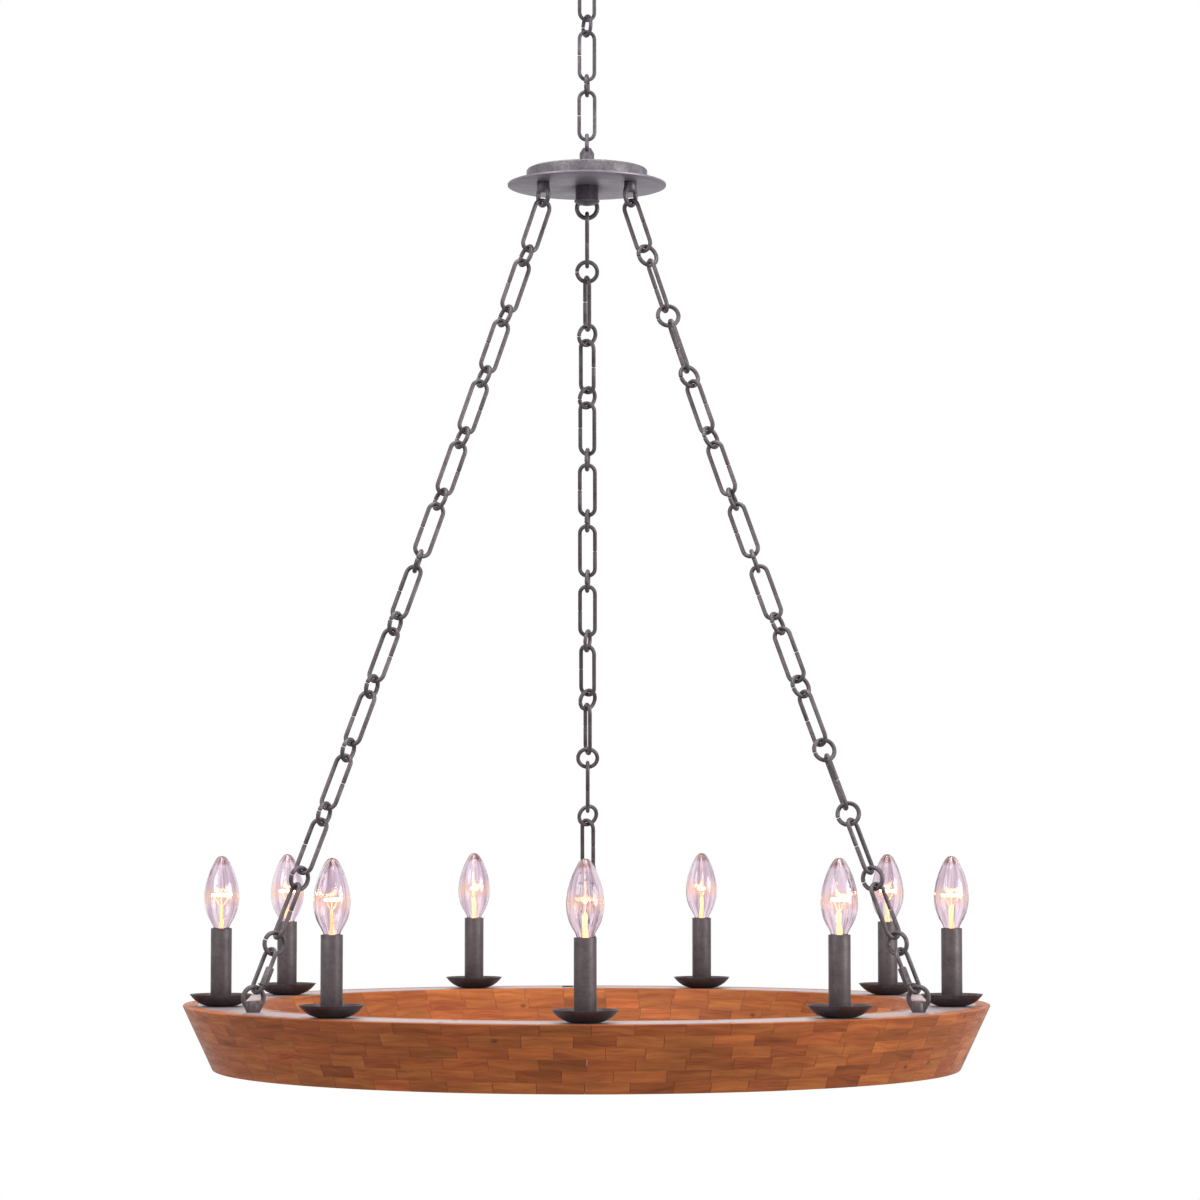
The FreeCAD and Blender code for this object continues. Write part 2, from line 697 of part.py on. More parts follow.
def make_crossbar():
    """The strap, with a slot at each end, the stem's hole and the ground screw's."""
    bar = primitive(
        "Box", "crossbar_blank", Length="crossbar_length", Width="crossbar_width", Height="crossbar_thickness"
    )
    corner = ("0 - crossbar_length / 2", "0 - crossbar_width / 2", "0 - crossbar_thickness")
    bar.Placement.Base = Vector(*[value(text) for text in corner])
    for letter, text in zip("xyz", corner):
        bar.setExpression(".Placement.Base." + letter, bound(text))
    stem_hole = "stem_diameter / 2 + thread_clearance"
    screw_hole = "ground_screw_diameter / 2 + thread_clearance"
    tools = [
        round_cutter("crossbar_stem_hole", "0", stem_hole),
        round_cutter("crossbar_screw_hole", "ground_screw_offset", screw_hole),
    ]
    for side, name in (("-", "left"), ("+", "right")):
        middle = f"0 {side} slot_spacing / 2"
        reach = "slot_length / 2 - slot_width / 2"
        low_end = f"{middle} - {reach.replace(' - ', ' + ')}"
        high_end = f"{middle} + {reach}"
        tools.append(round_cutter(f"crossbar_slot_{name}_low", low_end, "slot_width / 2"))
        tools.append(round_cutter(f"crossbar_slot_{name}_high", high_end, "slot_width / 2"))
        web = primitive(
            "Box", f"crossbar_slot_{name}", Length="slot_length - slot_width", Width="slot_width",
            Height="crossbar_thickness"
        )
        place = (low_end, "0 - slot_width / 2", "0 - crossbar_thickness")
        web.Placement.Base = Vector(*[value(text) for text in place])
        for letter, text in zip("xyz", place):
            web.setExpression(".Placement.Base." + letter, bound(text))
        tools.append(web)
    return subtract("crossbar", bar, join("crossbar_cutters", tools))


def round_cutter(name, x, radius):
    cutter = primitive("Cylinder", name, Radius=radius, Height="crossbar_thickness")
    cutter.Placement.Base = Vector(value(x), 0, value("0 - crossbar_thickness"))
    cutter.setExpression(".Placement.Base.x", bound(x))
    cutter.setExpression(".Placement.Base.z", bound("0 - crossbar_thickness"))
    return cutter


def make_top_chain(centres):
    link = make_link("top_link", "top_link_length", "top_link_width", "top_chain_wire")
    ring = make_chain_ring("top_ring", "top_ring_diameter", "top_chain_wire", "360 - top_ring_opening")
    DOC.recompute()
    names = ("top_link_upper", "top_ring_upper", "top_link_middle", "top_ring_lower", "top_link_lower")
    pieces = []
    for index, (name, centre, turn) in enumerate(zip(names, centres, TOP_TURNS)):
        pieces.append(copies(name, ring if index % 2 else link, [polar(0, 0, centre, turn=turn)]))
    return pieces


def make_hub():
    top = "hub_height"
    floor = "hub_disc_thickness"
    hole = "stem_diameter / 2 + thread_clearance"
    inner_side = "hub_drum_diameter / 2 - hub_drum_wall"
    drum = turned("hub_drum", [
        (inner_side, floor),
        ("hub_drum_diameter / 2", floor),
        ("hub_drum_diameter / 2", "hub_height - hub_drum_edge"),
        ("hub_drum_diameter / 2 - hub_drum_edge", top),
        (hole, top),
        (hole, "hub_height - hub_drum_wall"),
        ("hub_drum_diameter / 2 - hub_drum_wall / 2 - hub_drum_edge", "hub_height - hub_drum_wall"),
        (inner_side, "hub_height - hub_drum_edge - hub_drum_wall / 2"),
    ], height="hub_underside")
    disc = turned("hub_disc", [
        (hole, "0"), ("hub_disc_diameter / 2", "0"), ("hub_disc_diameter / 2", floor), (hole, floor)
    ], height="hub_underside")
    drill(disc, "0", "hub_eye_circle / 2", "eye_shank_diameter", "thread_clearance", count=3)
    drill(disc, "0", "hub_bushing_offset", "bushing_hole")
    stem = tube("hub_stem", "stem_diameter", "stem_bore", "hang_clearance - finial_bore_depth",
                "hub_height + stem_engagement")
    side_hole(stem, "hub_disc_thickness / 2 + hub_height / 2 - hub_drum_wall / 2", "stem_wire_hole")
    lift(stem, "hub_underside")
    rim = "0 - finial_length - finial_cap_rim"
    finial = turned("hub_finial", [
        ("0", "0 - finial_bore_depth"),
        (hole, "0 - finial_bore_depth"),
        (hole, "0"),
        ("finial_diameter / 2", "0"),
        ("finial_diameter / 2", "0 - finial_length"),
        ("finial_cap_diameter / 2", "0 - finial_length"),
        ("finial_cap_diameter / 2", rim),
        ("0", rim + " - finial_dome", "dome"),
    ], height="hub_underside")
    loop = make_collar_loop("hub_loop")
    loop.Placement = polar(0, 0, value("hub_top"), turn=HUB_LOOP_TURN)
    nut = hex_nut("hub_stem_nut", "stem_nut_flats", "stem_nut_height", "stem_diameter")
    eyebolt = make_eyebolt("hub_eyebolt")
    flange_nut = make_flange_nut("hub_eyebolt_nut")
    bushing = make_bushing("hub_bushing_pattern", "hub_disc_thickness")
    DOC.recompute()
    under = value("hub_underside")
    inside = value("hub_underside + hub_disc_thickness")
    circle = value("hub_eye_circle / 2")
    nut_heights = (inside, value("hub_top - hub_drum_wall - stem_nut_height"))
    bushing_place = Placement(Vector(0, value("hub_bushing_offset"), under), Rotation(EAST, 180))
    return [
        loop, drum, disc, stem, finial,
        copies("hub_stem_nuts", nut, [polar(0, 0, height) for height in nut_heights]),
        copies("hub_eyebolts", eyebolt, [polar(circle, angle, under, turn=90, tip=180) for angle in EYE_ANGLES]),
        copies("hub_eyebolt_nuts", flange_nut, [polar(circle, angle, inside) for angle in EYE_ANGLES]),
        copies("hub_bushing", bushing, [bushing_place]),
    ]


def make_quick_link(name):
    """The link that the nut closes, in the XZ plane, open near the lower end of its leg at -X."""
    left = "side_chain_wire / 2 - quick_link_width / 2"
    right = "quick_link_width / 2 - side_chain_wire / 2"
    high = "quick_link_length / 2 - quick_link_width / 2"
    low = "quick_link_width / 2 - quick_link_length / 2"
    body = new_body(name)
    path = new_sketch(body, "XZ_Plane")
    draw(path, [
        (left, "quick_gap_low + quick_link_gap"),
        (left, high),
        (right, high, high),
        (right, low),
        (left, low, low),
        (left, "quick_gap_low"),
    ], closed=False)
    section = new_sketch(body, "XY_Plane", "quick_gap_low + quick_link_gap")
    add_circle(section, left, "0", "side_chain_wire / 2")
    sweep(body, section, path)
    return body


def make_side_chains(hung):
    link = make_link("side_link", "side_link_length", "side_link_width", "side_chain_wire")
    ring = make_chain_ring("side_ring", "side_ring_diameter", "side_chain_wire", "360 - side_ring_opening")
    quick = make_quick_link("quick_link")
    nut = hex_nut("quick_nut", "quick_nut_flats", "quick_nut_length", "side_chain_wire")
    left = value("side_chain_wire / 2 - quick_link_width / 2")
    nut.Placement.Base = Vector(left, 0, value("quick_nut_low"))
    nut.setExpression(".Placement.Base.x", bound("side_chain_wire / 2 - quick_link_width / 2"))
    nut.setExpression(".Placement.Base.z", bound("quick_nut_low"))
    DOC.recompute()
    nodes = []
    for name, azimuth in zip(CHAINS, EYE_ANGLES):
        turns = {"link": iter(LINK_TURNS[name]), "ring": iter(RING_TURNS[name]), "quick": iter([QUICK_TURNS[name]])}
        places = {"link": [], "ring": [], "quick": []}
        for kind, out, depth, lean in hung:
            places[kind].append(chain_place(azimuth, out, depth, lean, next(turns[kind])))
        nodes.append(copies(name + "_chain_links", link, places["link"]))
        nodes.append(copies(name + "_chain_rings", ring, places["ring"]))
        nodes.append(copies(name + "_quick_link", quick, places["quick"]))
        nodes.append(copies(name + "_quick_link_nut", nut, places["quick"]))
    return nodes


def slice_radius(edge, level):
    """A wall's radius at a course joint; edge is its radius at the top, level counts from the bottom."""
    return f"{edge} - ring_taper + ring_taper * {level} / course_count"


def make_ring_tool(name, inner, outer, height, depth):
    """A round trench to cut, between two radii, down from a height."""
    outside = primitive("Cylinder", name + "_outside", Radius=outer, Height=depth)
    inside = primitive("Cylinder", name + "_inside", Radius=inner, Height=depth)
    trench = subtract(name, outside, inside)
    lift(trench, height)
    return trench


def make_courses(screws):
    courses = int(value("course_count"))
    channel_from = courses - int(value("channel_courses"))
    outer_edge = "ring_diameter / 2"
    inner_edge = "candle_circle / 2 - band_width / 2 - band_clearance - inner_rim"
    nodes = []
    for level in range(courses):
        name = f"ring_course_{level + 1}"
        outer = primitive("Cone", name + "_outer", Radius1=slice_radius(outer_edge, level),
                          Radius2=slice_radius(outer_edge, level + 1), Height="course_height")
        inner = primitive("Cone", name + "_inner", Radius1=slice_radius(inner_edge, level),
                          Radius2=slice_radius(inner_edge, level + 1), Height="course_height")
        for cone in (outer, inner):
            lift(cone, f"ring_top - course_height * course_count + course_height * {level}")
        if level < channel_from:
            nodes.append(subtract(name, outer, inner))
            continue
        whole = subtract(name + "_whole", outer, inner)
        cutters = [make_ring_tool(
            name + "_channel",
            "candle_circle / 2 - band_width / 2 + channel_ledge",
            "candle_circle / 2 + band_width / 2 - channel_ledge",
            f"ring_top - course_height * course_count + course_height * {level}",
            "course_height",
        )]
        if level == courses - 1:
            cutters.append(make_ring_tool(
                name + "_rebate",
                "candle_circle / 2 - band_width / 2 - band_clearance",
                "candle_circle / 2 + band_width / 2 + band_clearance",
                "ring_top - band_thickness",
                "band_thickness",
            ))
        cutters.append(screws)
        nodes.append(subtract(name, whole, join(name + "_cutters", cutters)))
    return nodes


def screw_shape(extra):
    """A countersunk screw with its head's face at z = 0, made larger all round by extra."""
    shank = value("screw_diameter / 2") + extra
    head = value("screw_head / 2") + extra
    depth = value("screw_head_height")
    cone = Part.makeCone(shank, head, depth, Vector(0, 0, -depth))
    length = value("screw_length") + extra
    return cone.fuse(Part.makeCylinder(shank, length, Vector(0, 0, -length))).removeSplitter()


def screw_places():
    top = value("ring_top")
    outer = value("candle_circle / 2 + band_width / 2 - screw_edge")
    inner = value("candle_circle / 2 - band_width / 2 + screw_edge")
    angles = [angle + candle_step() / 2 for angle in candle_angles()]
    return [polar(radius, angle, top) for angle in angles for radius in (outer, inner)]


def make_ring():
    screw = solid("screw_pattern", screw_shape(0.0))
    cutter = solid("screw_cutter", screw_shape(value("thread_clearance")))
    screws = copies("band_screws", screw, screw_places())
    screw_holes = copies("screw_holes", cutter, screw_places())
    band = tube("carrier_band_blank", "band_outside", "band_inside", "0 - band_thickness", "0")
    count = int(value("candle_count"))
    drill(band, "0", "0 - candle_circle / 2", "stem_diameter", "thread_clearance", count=count)
    drill(band, "0", "candle_circle / 2", "eye_shank_diameter", "thread_clearance", count=len(EYE_ANGLES))
    drill(band, "0 - ring_bushing_offset", "candle_circle / 2", "bushing_hole")
    lift(band, "ring_top")
    carrier = subtract("carrier_band", band, screw_holes)
    eyebolt = make_eyebolt("ring_eyebolt")
    flange_nut = make_flange_nut("ring_eyebolt_nut")
    bushing = make_bushing("ring_bushing_pattern", "band_thickness")
    DOC.recompute()
    top = value("ring_top")
    below = value("ring_top - band_thickness")
    circle = value("candle_circle / 2")
    bushing_place = Placement(Vector(-value("ring_bushing_offset"), circle, top), Rotation())
    return make_courses(screw_holes) + [
        carrier, screws,
        copies("ring_eyebolts", eyebolt, [polar(circle, angle, top) for angle in EYE_ANGLES]),
        copies("ring_eyebolt_nuts", flange_nut, [polar(circle, angle, below, tip=180) for angle in EYE_ANGLES]),
        copies("ring_bushing", bushing, [bushing_place]),
        make_wiring(),
    ]


def make_wiring():
    """The wire loom in the channel, with a lead up into every candle."""
    floor = value("ring_top - course_height * channel_courses + hang_clearance")
    height = floor + value("loom_diameter / 2")
    radius = value("candle_circle / 2 - band_width / 2 + channel_ledge + loom_gap + loom_diameter / 2")
    loom = Part.makeTorus(radius, value("loom_diameter / 2"), Vector(0, 0, height))
    bend = value("lead_bend")
    out = value("candle_circle / 2")
    top = value("ring_top + sleeve_top - socket_drop - socket_cavity - hang_clearance")
    # The lead leaves the loom at its upper side, halfway between level and upright.
    half = math.sin(math.pi / 4)
    low_end = out - bend + bend * half
    start = Vector(radius, 0, height)
    slope = Part.LineSegment(start, Vector(low_end, 0, height + low_end - radius))
    corner = slope.EndPoint + Vector(-bend * half, 0, bend * half)
    middle = corner + Vector(bend * math.cos(math.pi / 8), 0, -bend * math.sin(math.pi / 8))
    turn_up = Part.Arc(slope.EndPoint, middle, Vector(out, 0, corner.z))
    rise = Part.LineSegment(turn_up.EndPoint, Vector(out, 0, top))
    path = Part.Wire([slope.toShape(), turn_up.toShape(), rise.toShape()])
    section = Part.Wire([Part.Circle(start, Vector(half, 0, half), value("lead_diameter / 2")).toShape()])
    lead = path.makePipeShell([section], True, False)
    leads = []
    for place in candle_places(0.0):
        copy = lead.copy()
        copy.Placement = place_on_circle(place)
        leads.append(copy)
    return solid("wiring_loom", loom.fuse(leads))


def place_on_circle(place):
    """The turn of a place about Z, without its distance out."""
    return Placement(Vector(0, 0, 0), place.Rotation)


def candle_step():
    return value("360 / candle_count")


def candle_angles():
    return [CANDLE_START + candle_step() * index for index in range(int(value("candle_count")))]


def candle_places(height):
    return [polar(value("candle_circle / 2"), angle, height) for angle in candle_angles()]


def make_candles():
    hole = "stem_diameter / 2 + thread_clearance"
    saucer = turned("saucer", [
        (hole, "0"),
        ("saucer_foot / 2", "0"),
        ("saucer_diameter / 2", "saucer_height", "dome"),
        ("saucer_diameter / 2 - saucer_wall", "saucer_height"),
        ("saucer_foot / 2", "saucer_wall", "dome"),
        (hole, "saucer_wall"),
    ])
    sleeve = tube("sleeve", "sleeve_diameter", "sleeve_bore", "saucer_wall", "sleeve_top")
    bore = "socket_bore / 2"
    wire = "socket_wire_hole / 2"
    ledge = "stem_engagement + hang_clearance"
    socket = turned("socket", [
        (hole, "0"),
        ("socket_diameter / 2", "0"),
        ("socket_diameter / 2", "socket_length"),
        (bore, "socket_length"),
        (bore, "socket_length - socket_cavity"),
        (wire, "socket_length - socket_cavity"),
        (wire, ledge),
        (hole, ledge),
    ], height="socket_foot")
    nipple = tube("nipple", "stem_diameter", "stem_bore", "0 - band_thickness - nipple_tail",
                  "socket_foot + stem_engagement")
    nut = hex_nut("candle_nut", "stem_nut_flats", "stem_nut_height", "stem_diameter")
    DOC.recompute()
    top = value("ring_top")
    nut_places = []
    for height in (value("0 - band_thickness - stem_nut_height"), value("saucer_wall")):
        nut_places.extend(candle_places(top + height))
    return [
        copies("candle_saucers", saucer, candle_places(top)),
        copies("candle_sleeves", sleeve, candle_places(top)),
        copies("candle_sockets", socket, candle_places(top)),
        copies("candle_nipples", nipple, candle_places(top)),
        copies("candle_nuts", nut, nut_places),
    ]


def bulb_curve(inset):
    """The glass outline from the base up to the tip, moved in by inset."""
    radius = value("bulb_diameter / 2")
    height = value("bulb_height")
    seat = value("0 - socket_drop")
    points = [
        Vector(value("bulb_base_diameter / 2") - inset, 0, seat),
        Vector(value("bulb_neck / 2") - inset, 0, 0),
    ]
    points += [Vector(radius * width - inset, 0, height * share) for share, width in BULB_SHAPE]
    points.append(Vector(0, 0, height - inset))
    curve = Part.BSplineCurve()
    curve.interpolate(Points=points, InitialTangent=Vector(0.3, 0, 1), FinalTangent=Vector(-1, 0, 0))
    return curve.toShape()


def make_bulbs():
    """Each bulb is a glass envelope, a screw base and the stem with its filament, z = 0 at the sleeve's top."""
    outer = bulb_curve(0.0)
    inner = bulb_curve(value("bulb_glass"))
    foot = Part.makeLine(inner.Vertexes[0].Point, outer.Vertexes[0].Point)
    tip = Part.makeLine(outer.Vertexes[-1].Point, inner.Vertexes[-1].Point)
    section = Part.Face(Part.Wire([foot, outer, tip, inner]))
    glass = section.revolve(Vector(0, 0, 0), UP, 360)
    base = turned("bulb_base", [
        ("0", "bulb_contact"),
        ("bulb_tip / 2", "bulb_contact"),
        ("bulb_base_diameter / 2", "bulb_contact + bulb_tip / 2"),
        ("bulb_base_diameter / 2", "0 - socket_drop"),
        ("0", "0 - socket_drop"),
    ])
    DOC.recompute()
    seat = value("0 - socket_drop")
    stem = Part.makeCylinder(value("bulb_stem / 2"), value("bulb_stem_height") - seat, Vector(0, 0, seat))
    wire = value("filament_wire / 2")
    half = value("filament_width / 2")
    high = value("filament_height")
    fork = value("bulb_stem_height") - wire * 2
    bar = Part.makeCylinder(wire, half * 2, Vector(-half, 0, high), EAST)
    arms = []
    for side in (-1, 1):
        arm = Vector(side * value("filament_arms / 2"), 0, high - fork)
        arms.append(Part.makeCylinder(wire, arm.Length, Vector(0, 0, fork), arm))
    filament = stem.fuse([bar] + arms)
    pattern = solid("bulb_pattern", Part.makeCompound([glass, base.Shape, filament]))
    top = value("ring_top + sleeve_top")
    return [copies(f"bulb_{index + 1}", pattern, [place]) for index, place in enumerate(candle_places(top))]


def opening_angle(diameter, wire):
    """The angle that the cut takes out of a chain ring."""
    return math.degrees(value("chain_cut") / (value(f"{diameter} / 2") - value(f"{wire} / 2")))


def enter_sizes():
    for name, number, note in SIZES:
        enter(name, number, note)
    circle = "=ring_diameter - 2 * outer_rim - 2 * band_clearance - band_width"
    enter("candle_circle", circle, "diameter of the circle of candles and ring eyes")
    circle = "=hub_drum_diameter - 2 * hub_drum_wall - eye_nut_flange - 2 * hub_nut_clearance"
    enter("hub_eye_circle", circle, "diameter of the circle of eyes under the hub")
    enter("band_outside", "=candle_circle + band_width", "diameter")
    enter("band_inside", "=candle_circle - band_width", "diameter")
    enter("sleeve_bore", "=sleeve_diameter - 2 * sleeve_wall")
    enter("socket_foot", "=sleeve_top - socket_drop - socket_length", "above the band")
    enter("bulb_contact", "=bulb_seat_gap - socket_drop - socket_cavity", "from the sleeve's top")
    enter("top_ring_opening", opening_angle("top_ring_diameter", "top_chain_wire"), "degrees")
    enter("side_ring_opening", opening_angle("side_ring_diameter", "side_chain_wire"), "degrees")
    enter("quick_nut_low", "=(quick_link_width - quick_link_length) / 2 + hang_clearance", "from the link's middle")
    spare = "(quick_nut_length - quick_link_gap - quick_nut_travel)"
    enter("quick_gap_low", f"=quick_nut_low + {spare} / 2", "from the link's middle")
    DOC.recompute()


def write(nodes):
    """Checks every object and every piece, then writes one file for each piece."""
    DOC.recompute()
    for item in DOC.Objects:
        if "Invalid" in item.State or "Error" in item.State:
            raise RuntimeError(f"{item.Name} has failed: {item.State}")
    os.makedirs("parts", exist_ok=True)
    for node in nodes:
        shape = node.Shape
        if shape.isNull() or not shape.isValid() or not shape.Solids:
            raise RuntimeError(f"{node.Label} has no valid solid")
        shape.exportStep(f"parts/{node.Label}.step")
        print(f"{node.Label}: {len(shape.Solids)} solids, {shape.Volume / 1000:.1f} cm3")


def main():
    enter_sizes()
    centres = hang_top_chain()
    hung = hang_side_chain()
    DOC.recompute()
    nodes = make_ceiling_end()
    nodes += make_top_chain(centres)
    nodes += make_hub()
    nodes += make_side_chains(hung)
    nodes += make_ring()
    nodes += make_candles()
    nodes += make_bulbs()
    write(nodes)
    print(f"{len(nodes)} nodes; ring top at {value('ring_top'):.1f}, hub underside at {value('hub_underside'):.1f}")


main()
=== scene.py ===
"""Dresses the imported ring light: glued wooden blocks, bent and turned steel, lit lamps, and a pale room.

The frame gives every piece its place. Shapes are made in millimetres about their own seat, set in place,
and scaled to metres when they become an object.
"""
import bpy
import bmesh
import math
import random
from mathutils import Matrix, Vector


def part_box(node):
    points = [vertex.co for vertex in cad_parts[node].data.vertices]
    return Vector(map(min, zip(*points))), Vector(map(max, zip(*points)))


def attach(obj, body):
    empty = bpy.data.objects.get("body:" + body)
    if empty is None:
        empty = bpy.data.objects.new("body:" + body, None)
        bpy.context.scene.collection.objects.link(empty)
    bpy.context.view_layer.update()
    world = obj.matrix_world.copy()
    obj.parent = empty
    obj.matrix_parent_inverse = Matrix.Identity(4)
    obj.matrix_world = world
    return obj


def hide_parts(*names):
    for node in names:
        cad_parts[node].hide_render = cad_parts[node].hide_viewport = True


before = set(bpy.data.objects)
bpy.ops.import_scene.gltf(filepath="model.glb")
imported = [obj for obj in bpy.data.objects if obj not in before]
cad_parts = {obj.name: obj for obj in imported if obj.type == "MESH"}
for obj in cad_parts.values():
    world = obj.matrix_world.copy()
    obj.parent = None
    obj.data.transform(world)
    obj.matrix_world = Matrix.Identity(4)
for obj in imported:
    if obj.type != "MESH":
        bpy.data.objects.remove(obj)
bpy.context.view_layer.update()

# Places and sizes, in millimetres and degrees -----------------------------------------------------------

TO_METRES = 0.001
LOW, HIGH = 0, 1
RING_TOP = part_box("carrier_band")[HIGH].z * 1000
HUB_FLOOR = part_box("hub_disc")[LOW].z * 1000
HUB_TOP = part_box("hub_drum")[HIGH].z * 1000
CANOPY_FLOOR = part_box("ceiling_canopy")[LOW].z * 1000

CANDLE_CIRCLE = 392.2
HUB_EYE_CIRCLE = 54.5
CANDLES = 9
CHAINS = {"left": 210, "right": 330, "rear": 90}

# The wooden ring: its courses, its walls at the top, and the channel that the band closes
COURSES = 6
WHOLE_COURSES = 3
COURSE = 11.4
TAPER = 32.0
OUTER_EDGE = 432.0
INNER_EDGE = 354.9
CHANNEL = (376.2, 408.2)
REBATE = (367.9, 416.5)
BAND = 3.0
FOOT_CHAMFER = 0.6
TOP_CHAMFER = 0.8

# Its glued blocks: how many in a round, how far they stray, and how often one is dark or has a knot. Flat
# faces lie past the sides on the grain map (in metres), so no bed joint is drawn on them.
BLOCKS = {"whole": 57, "outer": 57, "inner": 51}
BLOCK_LENGTHS = (0.84, 1.16)
BLOCK_SLANT = 0.35
HAIRLINE = 0.16
BLOCK_TONE = (0.55, 0.2)
DARK_BLOCKS = 0.12
DARK_TONE = 0.45
KNOTTY_BLOCKS = 0.03
NO_KNOT = (9.0, 9.0)
PAST_THE_SIDES = 0.02

# The candles, and the radius of the holes that stems and nipples pass
SLEEVE_TOP = 82.1
SLEEVE_FOOT = 1.2
STEM_HOLE = 5.05

# The chains: wires, links (length, width), rings, and eyes and loops (diameter, wire, height on their seat)
TOP_WIRE = 4.1
SIDE_WIRE = 4.6
SLACK = 0.3
CUT = 1.0
TOP_LINK = (57.5, 21.0)
TOP_RING = 25.6
SIDE_LINK = (63.9, 21.7)
SIDE_RING = 27.0
QUICK_LINK = (52.0, 20.5)
EYE = (27.3, 5.0, 28.3)
LOOP = (24.0, 4.5, 40.0)
CHAIN_BOW = math.radians(2.65)

# How far each piece is turned about its own length
HUB_LOOP_TURN = 90
TOP_TURNS = (18, -67, 15, 84, 0)
LINK_TURNS = {
    "left": (206, 26, 26, 206, 206, 26, -26, 154, -26, 154, -26, 120),
    "right": (150, -75, -80, 139, 149, -22, -5, 158, -50, 95, 57, 220),
    "rear": (90, -74, 147, -22, -5, 175, -5, -29, -72, 90, 138, -20),
}
RING_TURNS = {
    "left": (-60, -60, -60, -60, -60, 90, 65, 65, 65, 65, 45, 30),
    "right": (33, 10, 36, 53, 73, 85, 60, 42, 20, -12, -31, -39),
    "rear": (0, 35, 41, 85, 85, 85, 76, 41, 0, 27, 50, 75),
}
QUICK_TURNS = {"left": 135, "right": 45, "rear": 0}

# Room and camera, in metres: each lamp has its place, size and watts
FLOOR_HEIGHT = -2.9
FLOOR_REACH = 6.0
FLOOR_GLOW = 0.55
WORLD_LIGHT = 0.42
LAMPS = (
    ("left_softbox", (-2.6, -2.4, 0.6), 1.8, 46.0),
    ("right_softbox", (2.9, -1.6, -0.4), 1.8, 66.0),
    ("top_softbox", (0.0, -0.4, 1.6), 2.2, 72.0),
)
LAMPS_AIM = (0, 0, -0.85)
SENSOR = 36.0
LENS = 107.54
CAMERA_PLACE = (0.0143, -3.875, -0.9905)
CAMERA_TILT = 90 + 3.636


# Finishes ----------------------------------------------------------------------------------------------

class Finish:
    """A material, with the few node calls that the finishes share."""

    def __init__(self, name):
        self.material = bpy.data.materials.new(name)
        self.material.use_nodes = True
        self.tree = self.material.node_tree
        self.shader = self.tree.nodes["Principled BSDF"]

    def node(self, kind, inputs=(), **settings):
        made = self.tree.nodes.new("ShaderNode" + kind)
        for key, setting in settings.items():
            setattr(made, key, setting)
        for key, item in dict(inputs).items():
            self.feed(made, key, item)
        return made

    def feed(self, node, key, item):
        socket = node.inputs[key]
        if isinstance(item, bpy.types.NodeSocket):
            self.tree.links.new(item, socket)
        else:
            socket.default_value = item

    def calc(self, operation, *terms):
        return self.node("Math", enumerate(terms), operation=operation).outputs[0]

    def place(self, scale=(1, 1, 1)):
        """Object coordinates, stretched."""
        where = self.node("TexCoord").outputs["Object"]
        return self.node("Mapping", {"Vector": where, "Scale": scale}).outputs[0]

    def noise(self, vector, scale=1.0, detail=3.0, roughness=0.5):
        settings = {"Vector": vector, "Scale": scale, "Detail": detail, "Roughness": roughness}
        return self.node("TexNoise", settings).outputs["Fac"]

    def spread(self, fac, low, high, to_low=0.0, to_high=1.0):
        limits = {"Value": fac, "From Min": low, "From Max": high, "To Min": to_low, "To Max": to_high}
        return self.node("MapRange", limits).outputs[0]

    def blend(self, fac, first, second, kind="MIX"):
        made = self.node("Mix", {0: fac, 6: first, 7: second}, data_type="RGBA", blend_type=kind)
        return made.outputs[2]

    def bump(self, height, strength, depth):
        made = self.node("Bump", {"Height": height, "Strength": strength, "Distance": depth})
        self.feed(self.shader, "Normal", made.outputs[0])

    def set(self, **inputs):
        for key, item in inputs.items():
            self.feed(self.shader, key.replace("_", " "), item)
        return self.material


def colour(red, green, blue):
    return (red, green, blue, 1.0)


def steel(name, dark, light, metal, rough, brush=None, grain=380.0, depth=0.00012):
    """A worked steel surface: cloudy tone, fine tooth, and brush lines along one axis if it has any."""
    finish = Finish(name)
    clouds = finish.noise(finish.place(), 60.0, 4.0, 0.6)
    tooth = finish.noise(finish.place(), grain, 4.0, 0.65)
    tone = finish.calc("ADD", finish.calc("MULTIPLY", clouds, 0.6), finish.calc("MULTIPLY", tooth, 0.4))
    height = tooth
    if brush:
        lines = finish.noise(finish.place(brush), roughness=0.7)
        tone = finish.calc("ADD", finish.calc("MULTIPLY", tone, 0.5), finish.calc("MULTIPLY", lines, 0.5))
        scored = finish.calc("MULTIPLY", lines, 0.6)
        height = finish.calc("ADD", finish.calc("MULTIPLY", tooth, 0.4), scored)
    base = finish.blend(finish.spread(tone, 0.36, 0.64), colour(*dark), colour(*light))
    finish.bump(height, 0.5, depth)
    roughness = finish.spread(tone, 0.3, 0.7, rough + 0.08, rough - 0.08)
    return finish.set(Base_Color=base, Metallic=metal, Roughness=roughness)


def plain_metal(name, base, rough):
    """Plated or dyed hardware with faint tool lines."""
    finish = Finish(name)
    lines = finish.noise(finish.place((60, 60, 700)), 1.0, 2.0, 0.6)
    darker = [part * 0.82 for part in base]
    shade = finish.blend(finish.spread(lines, 0.3, 0.7), colour(*darker), colour(*base))
    finish.bump(lines, 0.25, 0.00005)
    roughness = finish.spread(lines, 0.3, 0.7, rough + 0.06, rough)
    return finish.set(Base_Color=shade, Metallic=1.0, Roughness=roughness)


def moulded(name, base):
    """Moulded plastic with a fine spark-eroded texture."""
    finish = Finish(name)
    tooth = finish.noise(finish.place(), 1500.0, 2.0, 0.6)
    finish.bump(tooth, 0.3, 0.00004)
    lighter = [part * 1.3 for part in base]
    return finish.set(
        Base_Color=finish.blend(tooth, colour(*base), colour(*lighter)),
        Roughness=finish.spread(tooth, 0.3, 0.7, 0.42, 0.55),
    )


